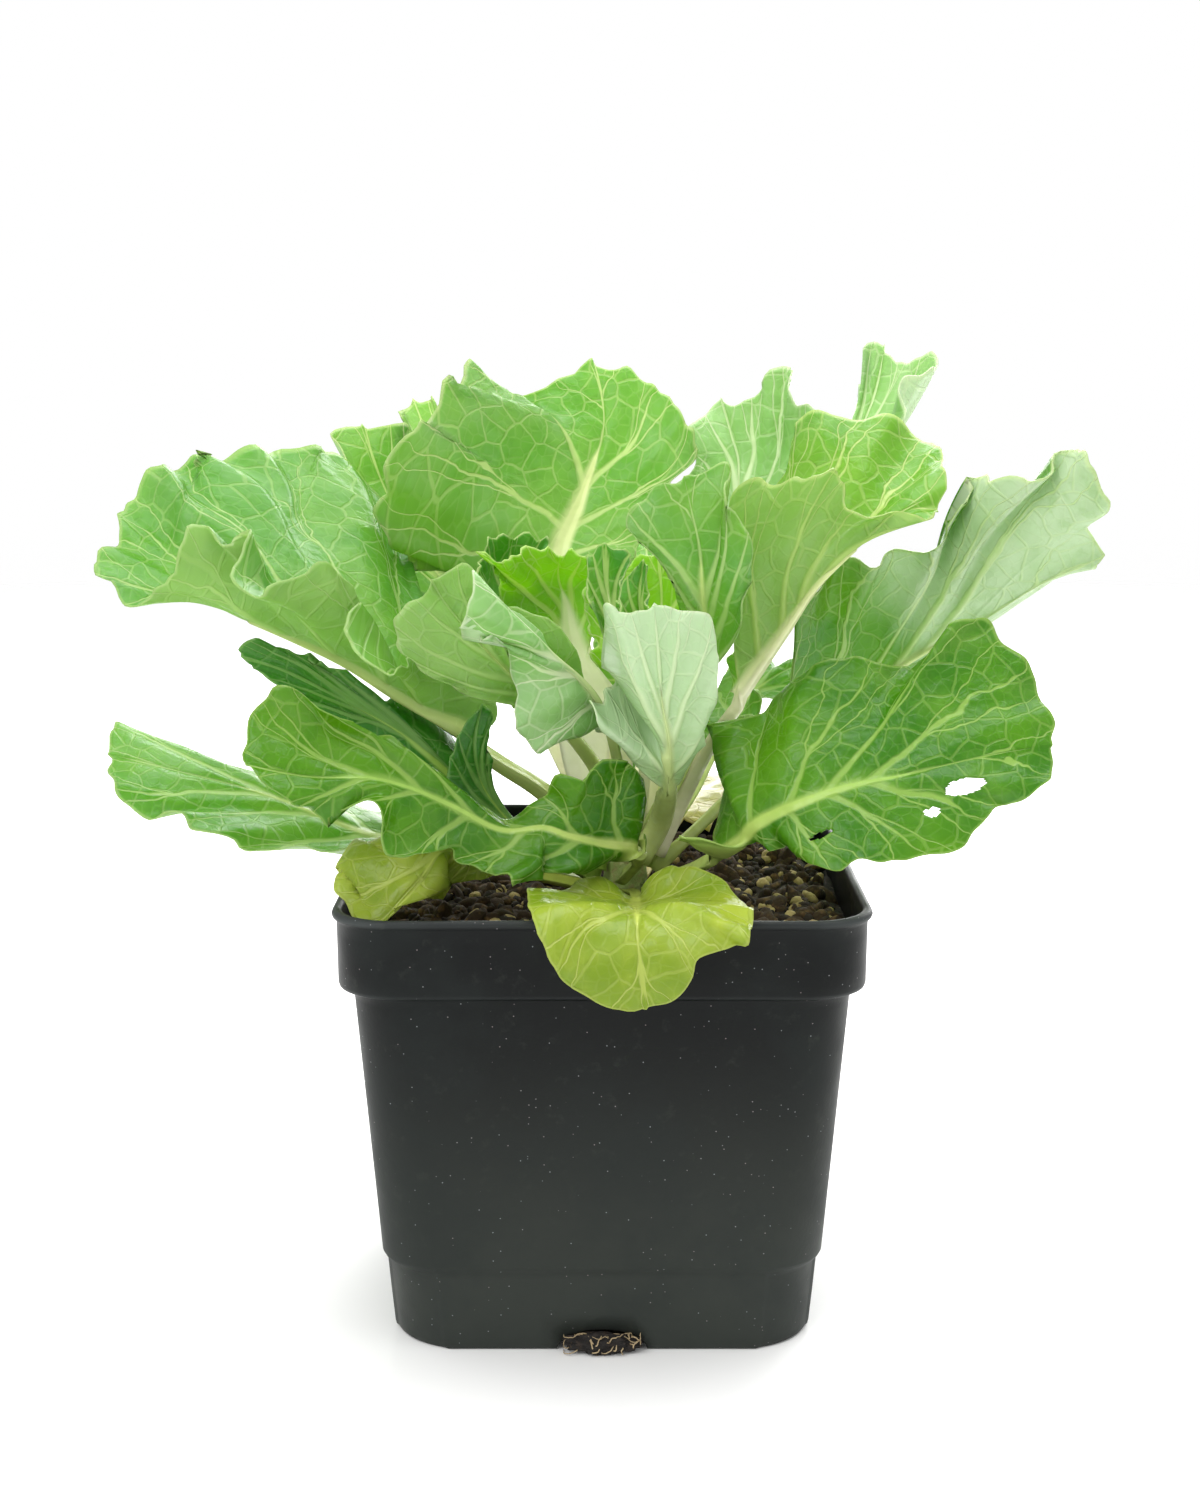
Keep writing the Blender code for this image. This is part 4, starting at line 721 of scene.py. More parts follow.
def grow(name, surface, seed, frill, teeth, spacing=1.45, holes=(), **drawing):
    """Leaf piece from its drawing; it stands for the solid of the same name."""
    faces, table = Leaf(**drawing).shape(seed, frill, teeth, spacing, holes)
    used = np.unique([v for f in faces for v in f])
    place = {int(v): k for k, v in enumerate(used)}
    table = table[used]
    piece = mesh_object("kale_" + name, table[:, :3], [tuple(place[v] for v in f) for f in faces], surface)
    shell = bmesh.new()
    shell.from_mesh(piece.data)
    bmesh.ops.recalc_face_normals(shell, faces=shell.faces)
    shell.to_mesh(piece.data)
    shell.free()
    for k, label in enumerate(("leaf_flat", "leaf_vein", "leaf_skin"), 1):
        layer = piece.data.attributes.new(label, "FLOAT_VECTOR", "POINT")
        layer.data.foreach_set("vector", table[:, 3 * k:3 * k + 3].astype(np.float32).ravel())
    finish_piece(piece, "old_leaf" if surface in (OLD_LEAF, FADED_LEAF) else "leaf", "leaf_" + name)


# finishes

POLYPROPYLENE = injection_moulded_polypropylene()
DARK_MIX = potting_mix("damp peat and bark mix", ("1c1710", "30271a", "483a24"))
WET_MIX = potting_mix("wet peat around the roots", ("0d0a08", "1a1410", "2b2119"), "5c4a36", 1.0, 0.7)
BARK = potting_mix("composted pine bark", ("2a2013", "483720", "68502e"), "80693f", 2.2)
GRIT = potting_mix("pumice and limestone grit", ("a08a52", "c6b37c", "866e3e"), "dccd9c", 1.6, 0.85)
ROOT_SKIN = potting_mix("fine living roots", ("a08a68", "c4b08a", "84704f"), "d9c9a4", 1.2, 0.8)
STEM_SKIN = potting_mix("young kale stem", ("8fa556", "b2c078", "a39a62"), "ccd294", 2.0, 0.5)

FRESH = kale_leaf("fresh", "5a9a34 88b856 a6cb92 b2d09c e0eaa8 f4efd0 d9e49c a4cf56")
FRONT = kale_leaf("outer", "307006 5b950c 76a53e 8eb668 a4c662 b7c76c 93b952 7cb206", 0.42)
FRESH_PALE = kale_leaf("bloomed", "4f9230 7fb048 93bf7e a2ca70 c9df98 c9d488 bfd57e 98c834")
WAXY = kale_leaf("waxy", "78b05c 98c67c b9d6a6 d2e6c2 e9f2cc c6d282 d0e0a4 b6da7c", 0.36)
BRIGHT = kale_leaf("thin and lit", "5a9c18 86b838 9cc478 a8cc76 dbe796 f4efd0 dfe6a4 98c838", 0.46)
LIT = kale_leaf("lit from behind", "74b41c 9ccc34 a8d070 b2d686 e6efa4 fbf8e6 f2f1cc bcec34", 0.52)
DEEP = kale_leaf("shaded", "2a6c16 4a8a26 5c9048 86ad6a 86b25c 9ab94c 8fb450 5cae18", 0.4)
HEART = kale_leaf("youngest", "3f8f22 74b232 7bb07c a8cd96 dcea9c f6f3d6 e2ecaa 8ccb24", 0.45)
# painted shade: on this leaf the lower side near the stalk is coloured like the darker upper side
SHADED_FOOT_LEAF = kale_leaf("underside with painted shade near the stalk", "3a7e0c 64981a 7ba84e d6e6c6 d2e2a0 b6c46c c2d68a 8fc44a", 0.38,
                   turned=0.58)
OLD_LEAF = kale_leaf("yellowing", "7c9a1e bdca42 a9be5a c0cd62 c3d068 b2bf54 c0cc60 b4c82c", 0.38, 0.6)
FADED_LEAF = kale_leaf("faded", "b0b04a d4cf80 d8d294 ded9a2 e9dbae e2d592 e2d9a0 e2d864", 0.4, 0.6)

# pot and what it holds

make_pot()
make_soil()
make_stem()
make_roots()
lumps("bark_chips", BARK, 3, 900, (1.3, 3.6), (0.25, 0.7), 0.10)
lumps("peat_crumbs", DARK_MIX, 5, 1300, (0.7, 1.9), (0.6, 1.0), 0.25)
lumps("pale_grit", GRIT, 9, 420, (0.7, 1.9), (0.6, 1.0), 0.35)

# leaves: finish, seed, frill and teeth, then the drawing, in millimetres and degrees

grow("back_centre", FRESH, 1, 2.2, 1.2, rib=[(6.3, 3.5, 115), (-3, 20, 151), (-11, 30, 181), (-6, 38, 198),
     (0, 45, 215), (0, 50, 226), (-3, 54, 237)], face=[(0, -1, 0.15), (0, -1, 0.3), (0, -1, 0.2)], stalk=64,
     width=(2.6, 3.4, 0.5), thick=(3.4, 2.6, 0.8), fold=[-5, 15, 20, 0, 10, 10, 10], curl=[0, 20, 15, 0, 0,
     10, 0], reach=[25.2, 32.2, 41.1, 50.9, 50.1, 54.7, 51.4, 49.1, 56.9, 52, 40.8, 29, 27.3, 26.5, 28.6,
     30.9, 32.9, 34.8, 36.6, 34.8, 31.4, 26.7, 25.5, 19.8, 14.2], lean=[69, 78, 85, 87, 90, 92, 91, 78, 42,
     40, 40, 30, -1, 10, 22, 29, 37, 41, 43, 44, 46, 49, 52, 69, 72], wave=[4.1, -0.1, -1, -0.2, -0.1, -0.7,
     -0.9, -0.1, 0.6, 2.2, -2.7, -0.5, -0.1, 0, 0, 0, -0.1, -0.9, -0.6, 1.5, 1.8, 0.5, 0.6, -0.6, 1.1])
grow("left_upper", FRESH_PALE, 2, 2.7, 1.4, rib=[(-0.6, -3.8, 113), (-12, -7, 129), (-25, -12, 139), (-39,
     -16, 149), (-51, -19, 157), (-62, -22, 165), (-73, -24, 171), (-84, -26, 176), (-96, -27, 181), (-108,
     -27, 183), (-120, -26, 186)], face=[(0, -0.25, 1), (0, -0.15, 1), (0, -0.1, 1)], stalk=46, width=(4,
     3.4, 0.6), thick=(4.6, 3.2, 0.8), fold=[80, 62, 44, 0, 38, 30, 24], curl=[10, 15, 10, 0, -8, -5, 0],
     reach=[2, 9.4, 13, 18.9, 26, 30.4, 30.3, 28, 34, 36.5, 34.8, 35, 39, 35.8, 35.8, 34.2, 33, 29.7, 30.9,
     33.1, 38.2, 43.3, 46.5, 55.7, 60.7, 64.1, 65.7, 69.8, 71.8, 75.6, 71.7, 72.6, 75.8, 79.8, 80, 83.1,
     75.9, 65.6, 51.7, 38.9, 24.8], lean=[102, 99, 59, 43, 35, 35, 37, 38, 38, 37, 35, 33, 32, 31, 29, 26,
     23, 18, 12, 9, 0, 9, 17, 25, 28, 31, 33, 35, 36, 39, 43, 45, 48, 53, 60, 63, 65, 68, 72, 78, 88],
     wave=[0.7, 4.1, 3, -4.4, -21.9, -19, -6.4, 4.4, 3.9, -1.6, -7.3, -11.6, -6.4, 7.3, 7.1, 12.6, 11.3, 2.8,
     0.7, -3.4, -0.3, 3.4, 4.6, 5, 5, 5.2, 5.7, 2.2, -1.8, -1, 1.8, -1.4, -2, -1.3, 1.3, 2.5, -3.1, -3.7,
     -4.9, -6.8, -6.4])
grow("left_outer", FRESH_PALE, 3, 1.4, 1.1, rib=[(-0.5, -2.6, 106.3), (-21, 0, 110), (-39, 2, 112), (-62, 3,
     117), (-85, 4, 126), (-108, 5, 132), (-128, 6, 137)], face=[(0, -0.3, 1), (0, -0.3, 1), (0, -0.35, 1)],
     stalk=40, width=(2.6, 2, 0.5), fold=[-8, -12, -12, 0, 6, 6, 6], curl=[-20, -20, -10, 0, 0, 0, 0],
     reach=[30.2, 30.4, 32.2, 35.8, 37.9, 39.5, 36.6, 38.2, 39.5, 37.7, 35, 43.4, 48.8, 44.2, 38, 32.7, 29.4,
     28, 29.8, 31.5, 32.1], lean=[45, 43, 40, 38, 34, 31, 28, 25, 21, 12, 0, 12, 17, 20, 24, 31, 37, 46, 51,
     55, 58], wave=[19.9, 16.7, 10.1, 5.1, 8.3, 6.4, 5, -0.2, 0.1, -0.3, 0.1, 0.7, -0.7, -4.1, -7.1, -9.8,
     -12.1, -12.5, -12.7, -12.8, -13.3])
grow("left_front", FRONT, 4, 2.0, 1.2, rib=[(4.1, -11.6, 108.8), (9, -28, 119), (0, -36, 123), (-8, -40,
     126), (-14, -40, 128), (-24, -42, 128), (-35, -44, 134), (-45, -47, 139), (-54, -50, 142), (-67, -54,
     143), (-81, -56, 146)], face=[(-0.1, -0.7, 0.7), (-0.1, -0.75, 0.65), (-0.2, -0.8, 0.6), (-0.3, -0.8,
     0.55)], stalk=15, width=(2, 1.5, 0.5), fork=0.85, fold=[*[0] * 5, 20, 50], reach=[12.3, 2, 2, 6.7, 13.3,
     17.4, 21.3, 18.1, 15.4, 15.1, 13, 18.8, 22.6, 20.5, 16.4, 15.8, 16.1, 16.2, 16.8, 17, 15.9, 22.8, 28.5,
     33.7, 35.7, 33.2, 24.1, 21.6, 21.3, 19.6, 15.8, 12, 8.9, 8.8, 10.8, 14, 18.9, 21, 20.2, 9, 4],
     lean=[123, 120, 52, 49, 49, 48, 46, 47, 48, 49, 50, 52, 51, 46, 33, 31, 30, 26, 22, 13, 1, 12, 22, 29,
     32, 33, 32, 30, 28, 25, 23, 22, 24, 26, 29, 38, 45, 63, 74, 95, 100], wave=[-0.7, 1.6, -4.9, -4.7, -1.1,
     -3.1, 4.1, 0.5, 1, 0.2, 0.3, 1.4, 1.1, 0.5, 2.1, 2, -5.7, -1.3, -0.5, -0.2, 0, 0.2, 0.4, 1.3, 4.3, 5.1,
     5.5, 0.9, 1.3, -1.2, -7.2, -10, -7.6, -5.6, -1.5, -0.3, 0, -0.7, -0.7, -0.1, 0])
grow("left_shaded", DEEP, 5, 1.2, 1.0, rib=[(-0.4, -7, 107.5), (-11, -9, 114), (-27, -16, 125), (-37, -21,
     137), (-49, -25, 148), (-63, -29, 157), (-75, -32, 164), (-85, -34, 168)], face=[(0, -0.6, 0.8), (0,
     -0.9, 0.5), (0, -0.9, 0.4)], stalk=32, fold=[0, 0, 0, 0, 15, 15, 10], reach=[6, 8, 10, *[12] * 5, 29.2,
     28.2, 29.2, 29.3, 29.2, 34, 36.7, 36.5, 35.5, 37, 36.5, 36.1, 35.3, 26.8, 3, 7.1, 10.1], lean=[110, 101,
     92, 82, 73, 64, 55, 46, 11, 9, 6, 4, -3, 2, 7, 7, 8, 9, 8, 9, 9, 10, 72, 76, 86], wave=[*[0] * 6, 0.1,
     0.4, 2.5, 1.7, 1, -1.6, -0.4, 0, 3.1, 0.1, 0.1, -0.4, 1.3, 0.5, -1.4, -8.9, -45, -33.9, -26.2])
grow("left_small", DEEP, 6, 1.0, 0.8, rib=[(1.4, -8.7, 110.8), (-17, -19, 120), (-28, -22, 132), (-31, -25,
     144), (-29, -26, 155)], face=[(0.3, -0.8, 0.3)] * 3, stalk=18, width=(1.6, 1.2, 0.5), thick=(2.2, 1.6,
     0.75), fold=[8, 8, 0, 15, 15], curl=[10, 10, 0, 20, 20], reach=[25.8, 24.6, 21.3, 18.6, 17.2, 22.9, 24,
     23.4, 21.8], lean=[18, 17, 15, 11, 1, 7, 8, 7, 5], wave=[2.5, -1.3, -0.7, -0.1, 0.1, 0.5, 0.3, -0.2,
     -1.6])
grow("heart_back", LIT, 7, 2.1, 1.5, rib=[(6.4, -1.6, 120.1), (-3, 0, 131), (-5, 6, 151), (-8, 10, 166), (-9,
     12, 174), (-11, 10, 181), (-11, 4, 186)], face=[(0, -1, 0)] * 3, stalk=40, width=(3.4, 8.5, 1.2),
     thick=(3.6, 3, 0.8), fold=[30, 30, 25, 0, 4, 0, 0], curl=[20, 20, 20, 0, 0, 0, 0], reach=[23.7, 38.7,
     51.3, 40.9, 32.3, 24.9, 13.9, 22.6, 26.3, 25.2, 25.2, 17.8, 17.3], lean=[42, 25, 24, 21, 18, 11, 0, 9,
     14, 21, 25, 26, 26], wave=[2.2, -0.7, -0.2, -0.3, -0.3, -0.2, -0.1, -0.2, -0.3, 0, 2.8, 0.9, 2.3])
grow("left_folded", WAXY, 8, 1.8, 1.1, rib=[(3.7, -8.7, 118.2), (6, -12, 132), (0, -27, 156), (-12, -43,
     171), (-22, -48, 182), (-29, -50, 191)], face=[(0.5, -0.2, 0.8), (0.5, -0.2, 0.6), (0.5, -0.2, 0.6)],
     stalk=34, width=(2.2, 1.6, 0.5), fold=[-60, -65, -60, 0, -50, -55, -50], curl=[-10, -10, 0, 0, -20, -30,
     -20], reach=[2, 6.4, 14.7, 20.3, 21.6, 20.3, 16.6, 19.8, 23.8, 20.4, 23, 23.8, 23.8, *[5] * 12],
     lean=[101, 98, 92, 85, 71, 57, 41, 22, 20, 19, 16, 11, 0, 9, 19, 28, 37, 47, 56, 65, 75, 84, 93, 103,
     112], wave=[-9, -4.9, -2.1, 0.1, -3.6, -5.6, -7, -4.5, -0.8, -12, -8.2, -2.6, -0.1, *[0] * 12])
grow("left_backlit", FRESH_PALE, 9, 1.6, 1.2, rib=[(1.2, -4.7, 119.2), (-1, -9, 135), (-14, -22, 154), (-27,
     -33, 169), (-36, -36, 180), (-40, -36, 187)], face=[(0, 1, 0)] * 3, stalk=40, width=(2.2, 1.6, 0.5),
     fold=[-5, -5, 0, -12, -24], reach=[12, 12, 26.8, 29.1, 28.7, 23.3, 17.8, 20.1, 26.7, 31, 33.3, 30.9,
     25.6], lean=[112, 93, 23, 21, 18, 11, 0, 11, 17, 23, 28, 27, 26], wave=[0, 0, -0.1, *[0] * 7, 0.1, 0,
     0.1])
grow("near_centre", WAXY, 10, 1.5, 0.9, rib=[(9.1, -9.8, 112.6), (15, -11, 124), (16, -34, 144), (14, -41,
     159), (13, -42, 171), (12, -42, 182)], face=[(0, 1, 0.1), (0, 1, 0.2), (0, 1, 0.2)], stalk=28,
     width=(3.2, 2.6, 0.5), thick=(3.2, 2.4, 0.75), fold=[-4, -4, 0, 0, -10, -10, -10], curl=[10, 10, 10, 0,
     0, 0, 0], reach=[8, 18.1, 25.1, 29.8, 31.9, 29.8, 24.9, 21.1, 24.8, 31.7, 36.7, 8.2, 14, 31.7, 24.3],
     lean=[46, 31, 29, 27, 25, 21, 11, 1, 11, 15, 18, 31, 32, 30, 32], wave=[7.3, 4.6, 1.1, 0.1, -0.2, 0, 0,
     0, 0.2, 1.1, 6, 35.4, 28.3, 6.3, 5.6])
grow("right_curled", FRESH_PALE, 11, 1.6, 1.1, rib=[(10.6, -7.6, 117.8), (22, -11, 142), (26, -23, 168), (24,
     -31, 181), (23, -33, 193), (21, -33, 202), (19, -31, 211)], face=[(-0.2, -1, 0.1), (-0.2, -1, 0.2),
     (-0.2, -1, 0.2)], stalk=48, width=(2.2, 1.8, 0.5), fold=[10, 10, 10, 0, 20, 20, 20], reach=[13.3, 19.2,
     24.1, 27.6, 29.4, 29.8, 26.7, 24.4, 20.5, 26, 31.2, 30.8, 30.7, 32.4, 31.6, 27, 21.5], lean=[21, 18, 18,
     23, 29, 31, 28, 20, -1, 12, 19, 20, 20, 22, 24, 26, 26], wave=[-3.3, -2.9, -1.7, -0.6, -0.4, -1, -0.2,
     0, -0.1, -0.4, -2.6, -2.5, 4.1, 1.4, -0.5, -2.5, 1.8])
grow("right_upper", BRIGHT, 12, 2.3, 1.3, rib=[(12.4, -5.5, 113.9), (25, -4, 140), (35, -6, 155), (45, -10,
     171), (53, -14, 184), (63, -16, 194), (73, -16, 201), (85, -12, 206)], face=[(-0.7, 0.2, 0.7), (-0.7,
     0.2, 0.7), (-0.5, 0.1, 0.8)], stalk=46, width=(3.6, 3.2, 0.5), thick=(4, 3, 0.8), fold=[50, 48, 45, 0,
     65, 72, 75], reach=[5, 7, 10, 14, 52.1, 57, 56.7, 56.6, 55, 54.4, 47.8, 37.4, 29.2, 24.2, 23.5, 26.7,
     26.4, 27.5, 30.8, 39.9, 40.4, 41.9, 44.1, 44.4, 26.3], lean=[112, 103, 93, 84, 52, 49, 42, 38, 33, 28,
     21, 9, 0, 6, 9, 11, 14, 17, 22, 27, 30, 35, 39, 40, 37], wave=[0, 0, -0.1, -0.5, -2.9, -0.2, 1.2, 1.7,
     2, 3.5, 5.9, 6.4, 0, -5.9, -8, -4.6, -5.7, -6.4, -4.3, -2.9, -3.8, -2, 1.1, 4.3, 14.8])
grow("back_right", WAXY, 13, 2.0, 1.3, rib=[(10.2, 1.1, 117), (26, 26, 161), (34, 40, 186), (37, 48, 206),
     (35, 51, 216), (32, 54, 226)], face=[(-0.2, -1, 0.2), (-0.2, -1, 0.3), (-0.2, -1, 0.2)], stalk=66,
     width=(2.4, 2, 0.5), fold=[10, 10, 10, 0, 10, 10, 10], reach=[18, 18, 18, 18, 26, 31.6, 32.3, 30.7,
     27.8, 25.7, 22.5, 23.6, 28.9, 34.8, 41.6, 45.2, 43.4, 43.9, 45.4, 44.1, 18], lean=[112, 101, 90, 78, 32,
     23, 20, 15, 10, 5, 0, 6, 16, 22, 24, 27, 29, 31, 34, 36, 112], wave=[0, 0, 0.1, 0.6, 3.2, 2.2, 1.9, 1.2,
     0.5, 0.1, 0.1, 0.4, 0.4, -1.3, 2.3, 2.1, 6.3, 5.9, 4.1, 8.1, 1.6])
grow("far_right", WAXY, 14, 1.7, 1.2, rib=[(11.2, 0.1, 109.8), (44, 49, 168), (67, 72, 205), (77, 82, 224),
     (81, 88, 239)], face=[(-0.4, -0.8, 0.4)] * 3, stalk=92, fold=[10, 10, 10, 0, 10, 10, 10], reach=[12,
     49.6, 46.3, 44, 43.9, 42.6, 37.6, 30.7, 34, 39.3, 48.8, 57.6, 57.4, 54.3, 53.2], lean=[112, 5, 5, 6, 7,
     7, 5, 0, 7, 15, 18, 20, 23, 25, 31], wave=[-2.5, -12.3, -7.7, -3.5, 0.5, 5.4, 3.1, 0.9, 2.5, 4.2, 5,
     6.5, 13.2, 20.4, 21.9])
grow("right_outer", SHADED_FOOT_LEAF, 15, 2.0, 1.3, rib=[(12.8, -2.5, 108.6), (18, -1, 114), (29, 9, 122), (44, 18,
     133), (62, 24, 145), (79, 26, 157), (98, 22, 169), (113, 14, 180), (127, 6, 187)], face=[(-0.3, 0.6,
     0.8), (-0.3, 0.6, 0.7), (-0.3, 0.8, 0.5)], stalk=50, width=(2.8, 2, 0.5), fold=[0, 0, 10, 0, 20, 28,
     32], reach=[*[26] * 10, 27.5, 27.9, 30.6, 34.5, 37.4, 37.9, 37.3, 43, 57.6, 64.4, 67.4, 64.7, 65.4, 61,
     58.8, 60.4, 58, 48.6, 47.3, 47, 49.4, 48.6, 40.8], lean=[112, 105, 98, 91, 84, 77, 70, 63, 56, 49, 38,
     30, 23, 15, 9, 4, -1, 14, 17, 22, 25, 27, 27, 30, 32, 30, 29, 33, 40, 42, 47, 49, 61], wave=[*[0] * 8,
     0.1, 0.6, 3.8, 4.7, 4.7, 4.3, 3.3, 1.8, 0.6, 3.4, 1.8, 2.6, 5.1, 5.8, -3.9, 1.6, 7.2, -1, -7.5, -3,
     -1.9, -4.8, -3.9, -6.2, -8.7])
grow("right_front", FRONT, 16, 1.5, 0.9, spacing=1.0, holes=((98.0, 6.4, 4.9, 1.9), (89.2, 10.5, 2.0, 1.2),
     (62.5, 9.5, 3.0, 0.8)), rib=[(12, -6.8, 107), (22, -26, 115), (32, -36, 123), (37, -40, 129), (47, -44,
     135), (58, -45, 139), (71, -46, 142), (90, -44, 146), (107, -40, 148)], face=[(0, -0.6, 0.8), (0, -0.7,
     0.7), (0, -0.75, 0.65)], stalk=33, width=(2.8, 1.9, 0.5), fold=[0, 0, 0, 0, -10, -10, -10], reach=[33.9,
     32.3, 41.1, 33.2, 37.7, 39.5, 41.5, 42.9, 46.9, 52.6, 53.6, 56.8, 52.7, 50, 43.4, 39.4, 34.6, 33.7,
     32.5, 28.8, 28.5, 30.5, 27.6, 25.3, 20.5, 20.1, 14.9, 6.5, 6.7, 2.3, 2, 2, 2], lean=[122, 113, 108, 76,
     73, 63, 60, 51, 43, 41, 41, 38, 32, 24, 16, 8, 0, 14, 22, 25, 35, 42, 45, 53, 62, 74, 77, 80, 95, 100,
     110, 162, 205], wave=[2.2, 1.2, -0.8, -6.2, -5.3, -3.2, -0.6, -0.5, -4.6, -4.3, 4.8, 1.9, 1.4, 1.2, 0.8,
     0.5, -0.1, -1.1, -1.1, -0.6, -0.7, -0.7, 0.3, 0.2, 0.1, 0, -1.4, -5.6, -1.1, -0.3, 5, 10.4, 13.5])
grow("front_yellow", OLD_LEAF, 17, 0.7, 0.6, rib=[(6, -10.6, 105.5), (8, -28, 109), (8, -42, 110), (8, -55,
     112), (8, -65, 113), (8, -72, 109), (9, -75, 102), (10, -76, 93)], face=[(0, -0.2, 1), (0, -0.4, 1), (0,
     -1, 0.5), (0, -1, 0.1)], stalk=26, width=(1.8, 1.3, 0.5), thick=(2.4, 1.8, 0.75), fold=[0, 8, 14, 0, 12,
     8, 0], reach=[2.2, 4.9, 10, 15.9, 22, 25.6, 30.6, 33.3, 28.2, 22.6, 22.7, 22.1, 20.4, 22.6, 24.8, 25.5,
     26.8, 28.9, 27.2, 26.5, 21.8, 16.9, 12.7, 8.7, 5.4], lean=[135, 124, 114, 101, 90, 78, 57, 49, 47, 36,
     28, 15, 1, 19, 33, 46, 53, 56, 66, 79, 90, 102, 114, 125, 135], wave=[1.3, 5, 7.8, 6.3, 2.4, -3, -3.9,
     0.8, -2.3, -0.6, -0.5, -0.2, -0.1, -0.5, -0.9, -0.7, -0.2, -0.4, -1.6, 0, 1, 2.2, 4.4, 4.8, 1.3])
grow("left_yellow", OLD_LEAF, 18, 0.7, 0.6, rib=[(1.6, -8.9, 105), (-19, -27, 114), (-36, -42, 123), (-43,
     -48, 117), (-51, -52, 109), (-55, -54, 108)], face=[(0, -0.6, 0.8), (0, -0.7, 0.7), (0, -0.8, 0.6)],
     stalk=38, width=(1.8, 1.3, 0.5), thick=(2.4, 1.8, 0.75), reach=[3.1, 3.8, 4, 4, 2, 16.7, 16.6, 16.4,
     16.1, 21.9, 26.2, 32.5, 28.8, 27.6, 22.3, 13.2, 12.9], lean=[115, 100, 85, 70, 54, 11, 9, 5, -1, 8, 18,
     26, 41, 50, 55, 81, 101], wave=[0.6, -2.3, -5.8, -9.7, -15.3, 4.5, 4.7, 2.7, -0.3, -2, -3.3, -4, -3.3,
     -5.6, -11, -21.4, -16.9])
grow("back_left", FRESH, 19, 1.2, 0.9, rib=[(0.9, 0.2, 113), (-25, 34, 157), (-47, 46, 182), (-59, 52, 201),
     (-65, 56, 218)], face=[(0.3, -0.9, 0.3)] * 3, stalk=60, fold=[10, 10, 10, 0, 10, 10, 10], reach=[14, 14,
     45.7, 41.3, 42.2, 38.9, 30.3, 37.6, 44.8, 52, 54.7, 14, 14], lean=[112, 93, 21, 18, 15, 13, 0, 9, 12,
     13, 15, 93, 112], wave=[0.3, 1.3, 7.7, 8, 3.8, 0.2, 0.1, 0.7, 0.7, -0.1, -1.2, -0.2, 0])
grow("far_left", FRESH, 20, 1.2, 0.9, rib=[(2.9, 1.8, 109.4), (-22, 48, 160), (-43, 76, 199), (-54, 90,
     224)], face=[(0.2, -0.9, 0.4)] * 3, stalk=58, fold=[10, 10, 10, 0, 10, 10, 10], reach=[12, 15, 17, 16,
     47.8, 44.3, 37.5, 45.5, 52.8, 16, 17, 15, 12], lean=[122, 102, 81, 61, 9, 6, -1, 3, 5, 61, 81, 102,
     122], wave=[0, 0, 0, 0.3, 1.5, 0, 0.2, 1, 0.4, 0.1, 0, 0, 0])
grow("pale_back", FADED_LEAF, 21, 0.6, 0.5, rib=[(9.5, 1.6, 105), (24, 34, 118), (35, 56, 120), (46, 74,
     119)], face=[(0, -0.2, 1)] * 2, stalk=30, width=(2, 1.5, 0.5), thick=(2.4, 1.8, 0.75), reach=[10, 10,
     10, 10, 20.4, 10, 10, 10, 10], lean=[112, 84, 56, 28, 0, 28, 56, 84, 112], wave=[*[0] * 9])
grow("right_low", FRESH_PALE, 22, 1.0, 1.0, rib=[(12, -1.2, 113.2), (23, 8, 126), (35, 22, 145), (47, 28,
     154), (57, 32, 157)], face=[(-0.3, -0.8, 0.5)] * 3, stalk=36, width=(2, 1.5, 0.5), reach=[8, 8, 8, 17.5,
     15.3, 14.9, 14.7, 13.3, 10.9, 8.6, 7.3, 11.8, 8.6], lean=[112, 93, 75, 28, 20, 14, 0, 18, 37, 51, 65,
     80, 94], wave=[0, -0.1, -0.8, -4.7, -4.5, -1.8, -0.2, 0.4, 1.2, 6.3, 13, 12, 14.2])
grow("heart_left", HEART, 23, 1.8, 1.3, rib=[(0.1, -2.1, 116), (-6, 11, 134), (-14, 18, 159), (-22, 19, 176),
     (-24, 18, 183), (-23, 15, 192)], face=[(0.3, -0.9, 0.2)] * 3, stalk=44, width=(1.8, 1.6, 0.5),
     thick=(2.4, 1.8, 0.75), fold=[10, 10, 0, 10, 10], curl=[20, 20, 0, 20, 20], reach=[36.4, 34.5, 30.4,
     28.4, 21.9, 16.6, 22, 25.9, 27.5, 23.6, 23.6], lean=[26, 24, 22, 19, 11, 2, 14, 19, 21, 24, 24],
     wave=[14.8, 10, 4.4, 3.3, 1.7, 0.4, -1.8, -2.7, -2.1, -0.6, -3.7])
grow("heart_right", LIT, 24, 1.7, 1.3, rib=[(10.6, -1.6, 118.8), (13, -1, 136), (16, 0, 154), (15, 2, 169),
     (15, 3, 179), (14, 3, 189)], face=[(-0.1, -1, 0.1)] * 3, stalk=34, width=(2.2, 2.2, 0.5), thick=(2.4, 2,
     0.75), fold=[22, 18, 0, 10, 10], curl=[10, 10, 0, 20, 20], reach=[21, 22.7, 20.7, 22.5, 22.3, 24.9,
     20.8, 16.6, 14.5, 17, 15.1, 13.2, 13, 12, 12, 12, 12], lean=[62, 61, 60, 60, 57, 53, 42, 21, 0, 19, 28,
     37, 50, 68, 81, 94, 108], wave=[1.7, 1.2, 0.6, -1.6, -0.8, -0.2, *[0] * 11])
